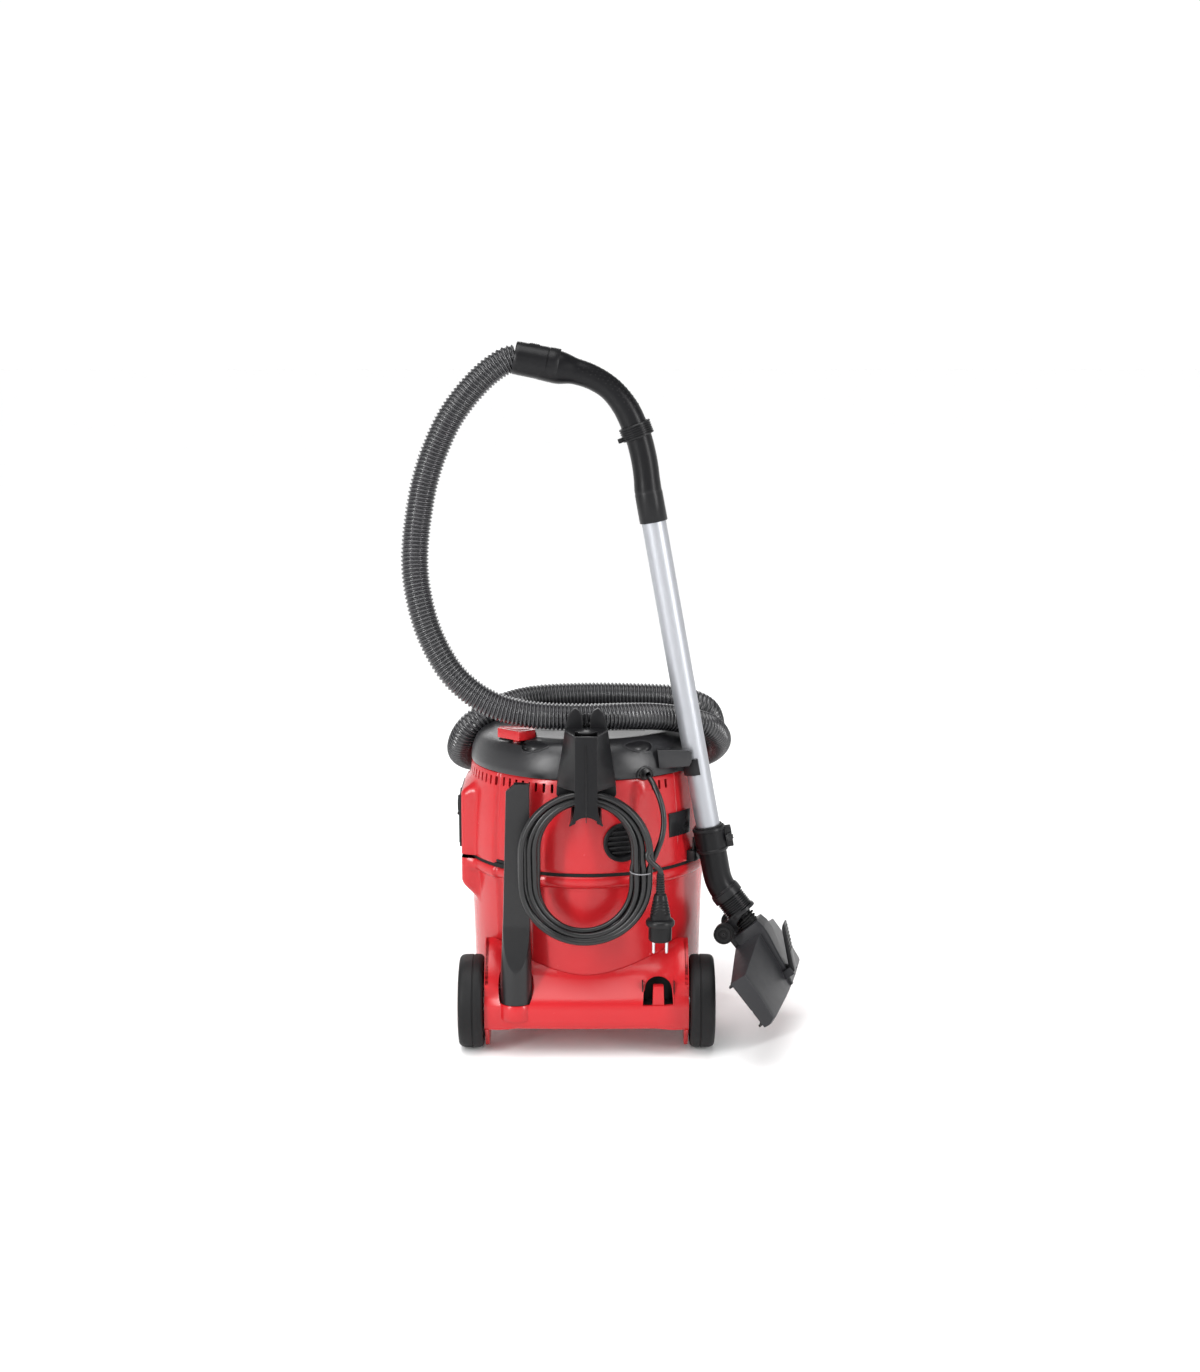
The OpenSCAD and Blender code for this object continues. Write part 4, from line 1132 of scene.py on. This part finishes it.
def make_neck():
    outline = [(0.0172, 0.0146), (0.0225, 0.0146), (0.0235, 0.0156), (0.0235, 0.0265)]
    for k in range(7):
        z = 0.028 + 0.0034 * k
        outline += [(0.0203, z), (0.0203, z + 0.001), (0.0221, z + 0.0014),
                    (0.0221, z + 0.0026)]
    outline += [(0.0204, 0.0522), (0.0238, 0.0526), (0.024, 0.0575), (0.0172, 0.058)]
    sleeve = place(lathe("sleeve", outline, 72), NECK)
    ears = []
    for side in (-1, 1):
        ear = [(-0.102, 0.045), (-0.096, 0.045), (-0.083, 0.013), (-0.0815, 0.006),
               (-0.083, -0.001), (-0.09, -0.0035), (-0.097, -0.001), (-0.0995, 0.008),
               (-0.102, 0.028)]
        plate = place(prism("ear", ear, -side * 0.02 - 0.002, -side * 0.02 + 0.002),
                      turn(pi / 2, "X"))
        bevel(plate, 0.0008, 2)
        ears.append(place(plate, NOZZLE))
    # ribbed core that reaches into the nozzle's bellows
    core = [(0.01, 0.056), (0.0128, 0.056)]
    for k in range(5):
        z = 0.0575 + 0.004 * k
        core += [(0.0128, z), (0.0118, z + 0.001), (0.0118, z + 0.002), (0.0128, z + 0.003)]
    core += [(0.0128, 0.079), (0.01, 0.079)]
    core = place(lathe("core", core, 48), NECK)
    neck = joined("neck_skin", [sleeve, core] + ears)
    piece(neck, "neck", BLACK, ["neck_sleeve"])


# --- floor nozzle ---------------------------------------------------------------------
NOZZLE_HALF = 0.15


def make_nozzle():
    def section(y, rear, front, rear_top, mid_top, front_top):
        return [Vector((rear, y, 0.002)), Vector((rear + 0.002, y, rear_top)),
                Vector(((rear + front) / 2, y, mid_top)),
                Vector((front - 0.004, y, front_top)), Vector((front, y, front_top - 0.01)),
                Vector((front - 0.001, y, 0.002))]

    half = NOZZLE_HALF
    sections = [section(-half, -0.041, 0.0405, 0.0275, 0.0265, 0.0215),
                section(-half + 0.01, -0.042, 0.042, 0.029, 0.028, 0.023),
                section(-0.052, -0.056, 0.042, 0.044, 0.038, 0.0285),
                section(-0.026, -0.06, 0.042, 0.0475, 0.04, 0.029)]
    sections += [[Vector((p.x, -p.y, p.z)) for p in s] for s in reversed(sections)]
    shell = loft("shell", sections)
    # arched hood over the neck, running out in a wedge towards the front edge
    hood = []
    for x, width, top in ((-0.074, 0.0235, 0.0545), (-0.062, 0.025, 0.057),
                          (-0.048, 0.0255, 0.056), (-0.02, 0.02, 0.0495),
                          (0.01, 0.0125, 0.0425), (0.037, 0.004, 0.033)):
        corner = 0.22 * width
        arc = [(-width, 0.01), (-width, top - corner), (-width + corner * 0.3, top - corner * 0.3),
               (-width + corner, top), (width - corner, top),
               (width - corner * 0.3, top - corner * 0.3), (width, top - corner),
               (width, 0.01)]
        hood.append([Vector((x, y, z)) for y, z in arc])
    hood = loft("hood", hood)
    cheeks = [block("cheek", (-0.096, y, 0.0), (-0.056, y + 0.004, 0.014))
              for y in (-0.017, 0.013)]
    cheeks += [block("lug", (0.012, y, 0.03), (0.024, y + 0.003, 0.049))
               for y in (-0.017, 0.014)]
    for part in [shell, hood] + cheeks:
        bevel(part, 0.0011, 3, radians(14))
    throat = place(rod("throat", 0.0155, -0.035, 0.035),
                   shift((-0.07, 0, 0.034)) @ turn(pi / 2, "Y"))
    slot = block("slot", (-0.03, -half + 0.008, -0.01), (0.03, half - 0.008, 0.012))
    grooves = [block("groove", (x, -half + 0.009, -0.01), (x + 0.005, half - 0.009, 0.0165))
               for x in (-0.037, 0.033)]
    cut(hood, [throat])
    cut(shell, [slot] + grooves)
    notch = rod("notch", 0.003, -0.2, 0.2, 20)
    place(notch, shift((0.01, 0, 0.0)) @ turn(pi / 2, "X"))
    cut(shell, [notch])
    # ribs of the bellows inside the hood
    bellows = []
    for k in range(4):
        rib = lathe("rib", [(0.013, -0.0012), (0.0166 - 0.0004 * k, -0.0012),
                            (0.0172 - 0.0004 * k, 0.0), (0.0166 - 0.0004 * k, 0.0012),
                            (0.013, 0.0012)], 48)
        place(rib, shift((-0.0855 + 0.0042 * k, 0, 0.036 - 0.0004 * k))
              @ turn(pi / 2 + radians(4 * k - 8), "Y"))
        bellows.append(rib)
    bellows = place(joined("nozzle_bellows", bellows), NOZZLE)
    piece(bellows, "nozzle", SEAL, ())
    body = place(joined("nozzle_skin", [shell, hood] + cheeks), NOZZLE)
    piece(body, "nozzle", NOZZLE_GREY, ["nozzle_body"], sharp=radians(20))


def make_rollers():
    wheels = [rod("axle", 0.004, -0.036, 0.036, 32)]
    face = [(0.001, 0.0135), (0.0035, 0.0135), (0.004, 0.0125), (0.0072, 0.0125),
            (0.0078, 0.014), (0.011, 0.014), (0.0116, 0.0128), (0.0136, 0.013),
            (0.0148, 0.0148), (0.015, 0.0136), (0.015, 0.0012), (0.014, 0.0002),
            (0.001, 0.0002)]
    for side in (-1, 1):
        disc = lathe("disc", face, 64)
        place(disc, shift((0, 0, side * 0.0285)) @ (
            turn(0 if side > 0 else pi, "X")))
        wheels.append(disc)
    wheels = place(joined("nozzle_wheel_skin", wheels), NOZZLE
                   @ shift((-0.09, 0, 0.006)) @ turn(pi / 2, "X"))
    piece(wheels, "rollers", RUBBER, ["nozzle_wheels"])


def make_pedal():
    lever = [(0.0035, -0.0022), (0.0035, 0.0045), (-0.04, 0.025), (-0.063, 0.0362),
             (-0.0645, 0.034), (-0.06, 0.029), (-0.03, 0.013), (-0.004, -0.001)]
    plate = place(prism("plate", lever, -0.0128, 0.0128), turn(pi / 2, "X"))
    bevel(plate, 0.0009, 2)
    treads = [place(block("tread", (-0.0008, -0.011, 0), (0.0008, 0.011, 0.0011)),
                    shift((-0.026 - 0.0052 * k, 0, 0.0184 + 0.00247 * k))
                    @ turn(radians(25), "Y")) for k in range(7)]
    pin = place(rod("pin", 0.0022, -0.0168, 0.0168, 32), turn(pi / 2, "X"))
    pedal = place(joined("pedal_skin", [plate, pin] + treads),
                  NOZZLE @ shift((0.018, 0, 0.046)))
    piece(pedal, "pedal", BLACK, ["nozzle_pedal"])


def make_brushes():
    strips = []
    for x in (-0.0366, 0.0334):
        strips.append(block("holder", (x, -0.14, 0.001), (x + 0.0042, 0.14, 0.013)))
        for k in range(96):
            y = -0.1385 + 0.277 * k / 95
            lean = 0.001 * noise.noise(Vector((y * 90, x * 40, 0)))
            strips.append(block("tuft", (x + 0.0006 + lean, y, -0.007),
                                (x + 0.0036 + lean, y + 0.0021, 0.0012)))
    brushes = place(joined("brush_skin", strips), NOZZLE)
    piece(brushes, "brushes", BRISTLE, ["brush_strips"])


# --- crevice nozzle, plug and small parts ----------------------------------------------
def make_crevice():
    """A tube whose front is sliced away into a long flat blade."""
    sections = []
    for i in range(84):
        z = 0.0844 + (0.416 - 0.0844) * i / 83
        narrow = ease(z, 0.11, 0.23)
        taper = max((z - 0.11) / 0.306, 0)
        wide = 0.0235 - 0.002 * narrow - 0.0042 * taper
        deep = 0.0235 - 0.0085 * narrow - 0.003 * taper
        half = radians(74) * min(max((z - 0.1355) / 0.066, 0), 1) ** 0.5
        offset = 0.0042 * taper
        front = [(wide * sin(half) * k / 8, -deep * cos(half)) for k in range(-8, 9)]
        around = [half + (tau - 2 * half) * k / 48 for k in range(1, 48)]
        ring = front + [(wide * sin(a), -deep * cos(a)) for a in around]
        sections.append([Vector((x + offset, y, z)) for x, y in ring])
    skin = loft("crevice_skin", sections)
    slant = block("slant", (-0.06, -0.04, 0.0), (0.0, 0.04, 0.03))
    place(slant, shift((-0.001, 0, 0.4147)) @ turn(radians(-38), "Y"))
    bore = rod("bore", 0.0205, 0.06, 0.125, 56)
    mouth = block("mouth", (-0.008, -0.0005, 0.37), (0.0155, 0.0062, 0.45))
    cut(skin, [bore, mouth, slant])
    place(skin, MACHINE @ shift(PEG_AT))
    piece(skin, "crevice", BLACK_GLOSS, ["crevice_nozzle"],
          sharp=radians(24))


PLUG_AT = (0.108, -0.226, 0)


def make_plug():
    outline = [(0.001, 0.19), (0.015, 0.19), (0.017, 0.192), (0.0172, 0.2125),
               (0.0205, 0.2135), (0.0213, 0.215), (0.0213, 0.2195), (0.019, 0.2225),
               (0.0156, 0.224), (0.015, 0.229)]
    for k in range(5):
        z = 0.231 + 0.0046 * k
        r = 0.0148 - 0.0009 * k
        outline += [(r, z), (r - 0.0008, z + 0.0008), (r - 0.0008, z + 0.0022),
                    (r - 0.0003, z + 0.0032)]
    outline += [(0.0098, 0.256), (0.0088, 0.26), (0.0066, 0.2615)]
    for k in range(8):
        z = 0.263 + 0.0036 * k
        r = 0.0068 - 0.00014 * k
        outline += [(r, z), (r, z + 0.0016), (r - 0.0012, z + 0.002), (r - 0.0012, z + 0.0032)]
    outline += [(0.005, 0.2925), (CORD_D / 2 + 0.0001, 0.293), (CORD_D / 2 + 0.0001, 0.262),
                (0.001, 0.262)]
    body = lathe("plug_body", outline, 64)
    flats = [block("flat", (-0.03, y, 0.223), (0.03, y + 0.01, 0.256))
             for y in (-0.0225, 0.0125)]
    cut(body, flats)
    body = place(body, shift(at(*PLUG_AT)))
    piece(body, "head", PLUG, ["mains_plug"])
    pins = []
    for x in (-0.0095, 0.0095):
        pin = lathe("pin", [(0.001, 0.1705), (0.0014, 0.1707), (0.0023, 0.1722),
                            (0.0024, 0.1745), (0.0024, 0.1905), (0.001, 0.1905)], 28)
        pins.append(place(pin, shift((x, 0, 0))))
    pins = place(joined("plug_pins", pins), shift(at(*PLUG_AT)))
    piece(pins, "head", STEEL, ())
    return [body, pins]


def make_tie():
    """A thin strap round the turns and the tail."""
    loop = []
    for k in range(40):
        a = tau * k / 40
        loop.append(at(0.0805 + 0.0165 * cos(a), -0.2175 + 0.015 * sin(a),
                       0.2925 + 0.0015 * sin(a)))
    band = sweep("tie_skin", loop + loop[:2], lambda s, a: 0.0008, 8, capped=False)
    piece(band, "head", TIE, ["cord_tie"])
    return band


def make_gland():
    here = side_frame(GLAND_ANGLE, 0.166, 0.425)
    profile = [(0.0043, 0.0), (0.0118, 0.0), (0.0118, 0.011), (0.0098, 0.0135),
               (0.0085, 0.015)]
    for k in range(3):
        z = 0.0152 + 0.0022 * k
        profile += [(0.008 - 0.0005 * k, z), (0.008 - 0.0005 * k, z + 0.0011),
                    (0.0068 - 0.0005 * k, z + 0.0014), (0.0068 - 0.0005 * k, z + 0.0021)]
    profile += [(0.0043, 0.0222)]
    gland = place(lathe("gland_skin", profile, 48), here)
    piece(gland, "head", CORD, ["cable_gland"])


def make_grille():
    here = side_frame(GRILLE_ANGLE, 0.172, GRILLE_Z)
    frame_ring = lathe("frame", [(0.0215, 0.008), (0.0258, 0.0), (0.0258, 0.0138),
                                 (0.0288, 0.014), (0.0296, 0.015), (0.0294, 0.0172),
                                 (0.028, 0.0182), (0.024, 0.0176), (0.0222, 0.015),
                                 (0.0215, 0.012)], 72)
    back = rod("back", 0.022, 0.007, 0.0082, 48)
    slats = []
    for k in range(-2, 3):
        y = 0.0078 * k
        reach = (0.0222 ** 2 - y * y) ** 0.5
        slat = block("slat", (-reach, y - 0.0013, 0.0085), (reach, y + 0.0013, 0.014))
        bevel(slat, 0.0004, 2)
        slats.append(slat)
    grille = place(joined("grille_skin", [frame_ring, back] + slats), here)
    piece(grille, "head", BLACK, ["exhaust_grille"])


def make_clip():
    """The arm that holds the tube, out of the cover's side."""
    arm = upright("arm", [(0.1075, 0.43), (0.152, 0.4335), (0.1555, 0.44),
                          (0.1565, 0.455), (0.15, 0.458), (0.1045, 0.458)],
                  -0.1475, -0.1345)
    bevel(arm, 0.0014, 3)
    foot = loft("foot", [
        [Vector(p) for p in ((0.104, -0.128, 0.431), (0.118, -0.146, 0.431),
                             (0.135, -0.14, 0.4325), (0.124, -0.112, 0.431))],
        [Vector(p) for p in ((0.104, -0.128, 0.4555), (0.118, -0.146, 0.456),
                             (0.132, -0.14, 0.456), (0.122, -0.112, 0.4555))]])
    bevel(foot, 0.0014, 3)
    clip = place(joined("clip_arm_skin", [arm, foot]), MACHINE)
    piece(clip, "head", COVER, ())


ROUNDED = {
    "control_panel": ("head", BLACK, 0.001), "socket_insert": ("head", BLACK, 0.0006),
    "wand_clip": ("head", GREY, 0.0014), "wand_dock": ("head", BLACK, 0.001),
    "hose_inlet": ("head", BLACK, 0.001), "hose_connector": ("head", BLACK, 0.001),
    "latch_hinges": ("head", BLACK, 0.0006), "left_latch": ("left_latch", BLACK, 0.0012),
    "right_latch": ("right_latch", BLACK, 0.0012), "socket_lid": ("lid", GREY, 0.0008),
    "selector_knob": ("selector", GREY, 0.0007), "power_dial": ("dial", GREY, 0.0007),
    "left_caster_fork": ("left_caster", GREY, 0.0008),
    "right_caster_fork": ("right_caster", GREY, 0.0008),
    "left_caster_wheel": ("left_caster_roll", RUBBER, 0.0008),
    "right_caster_wheel": ("right_caster_roll", RUBBER, 0.0008),
    "motor_housing": ("head", GREY, 0.0012), "head_base": ("head", BLACK, 0.0008),
    "float_ball": ("float", GREY, 0.0),
}


def make_rounded():
    """Copies of plain nodes with softened edges."""
    for name, (body, plastic, width) in ROUNDED.items():
        source = NODES[name]
        work = bmesh.new()
        work.from_mesh(source.data)
        bmesh.ops.remove_doubles(work, verts=work.verts, dist=1e-6)
        bmesh.ops.dissolve_limit(work, angle_limit=radians(0.5), verts=work.verts,
                                 edges=work.edges)
        mesh = bpy.data.meshes.new(name + "_skin")
        work.to_mesh(mesh)
        work.free()
        copy = add_object(name + "_skin", mesh)
        if width:
            bevel(copy, width, 2, radians(35))
        piece(copy, body, plastic, [name])


def make_plate():
    """Blank rating plate that follows the head's curve."""
    rows, columns = [0.323, 0.36], 24
    points, faces = [], []
    for r in (0.1852, 0.1866):
        for z in rows:
            for k in range(columns + 1):
                a = radians(-48.5 + 15.2 * k / columns)
                points.append(at(r * cos(a), r * sin(a), z))
    n = columns + 1
    for k in range(columns):
        faces += [(k, k + 1, n + k + 1, n + k),
                  (2 * n + k, 3 * n + k, 3 * n + k + 1, 2 * n + k + 1),
                  (k, 2 * n + k, 2 * n + k + 1, k + 1),
                  (n + k, n + k + 1, 3 * n + k + 1, 3 * n + k)]
    faces += [(0, n, 3 * n, 2 * n), (n - 1, 3 * n - 1, 4 * n - 1, 2 * n - 1)]
    plate = mesh_object("plate_skin", points, faces)
    bevel(plate, 0.0005, 2)
    piece(plate, "head", PLATE, ["rating_plate"])


make_camera()
dress_nodes()
make_studio()
make_hose()
plug = make_plug()
tie = make_tie()
make_cord()
make_tank()
make_head()
make_cover()
make_button()
make_bracket()
make_chassis()
make_wheels()
make_tube()
make_handle()
make_relief_ring()
make_cuff()
make_elbow()
make_clamp()
make_clamp_screw()
make_neck()
make_nozzle()
make_rollers()
make_pedal()
make_brushes()
make_crevice()
make_gland()
make_clip()
make_grille()
make_plate()
make_rounded()
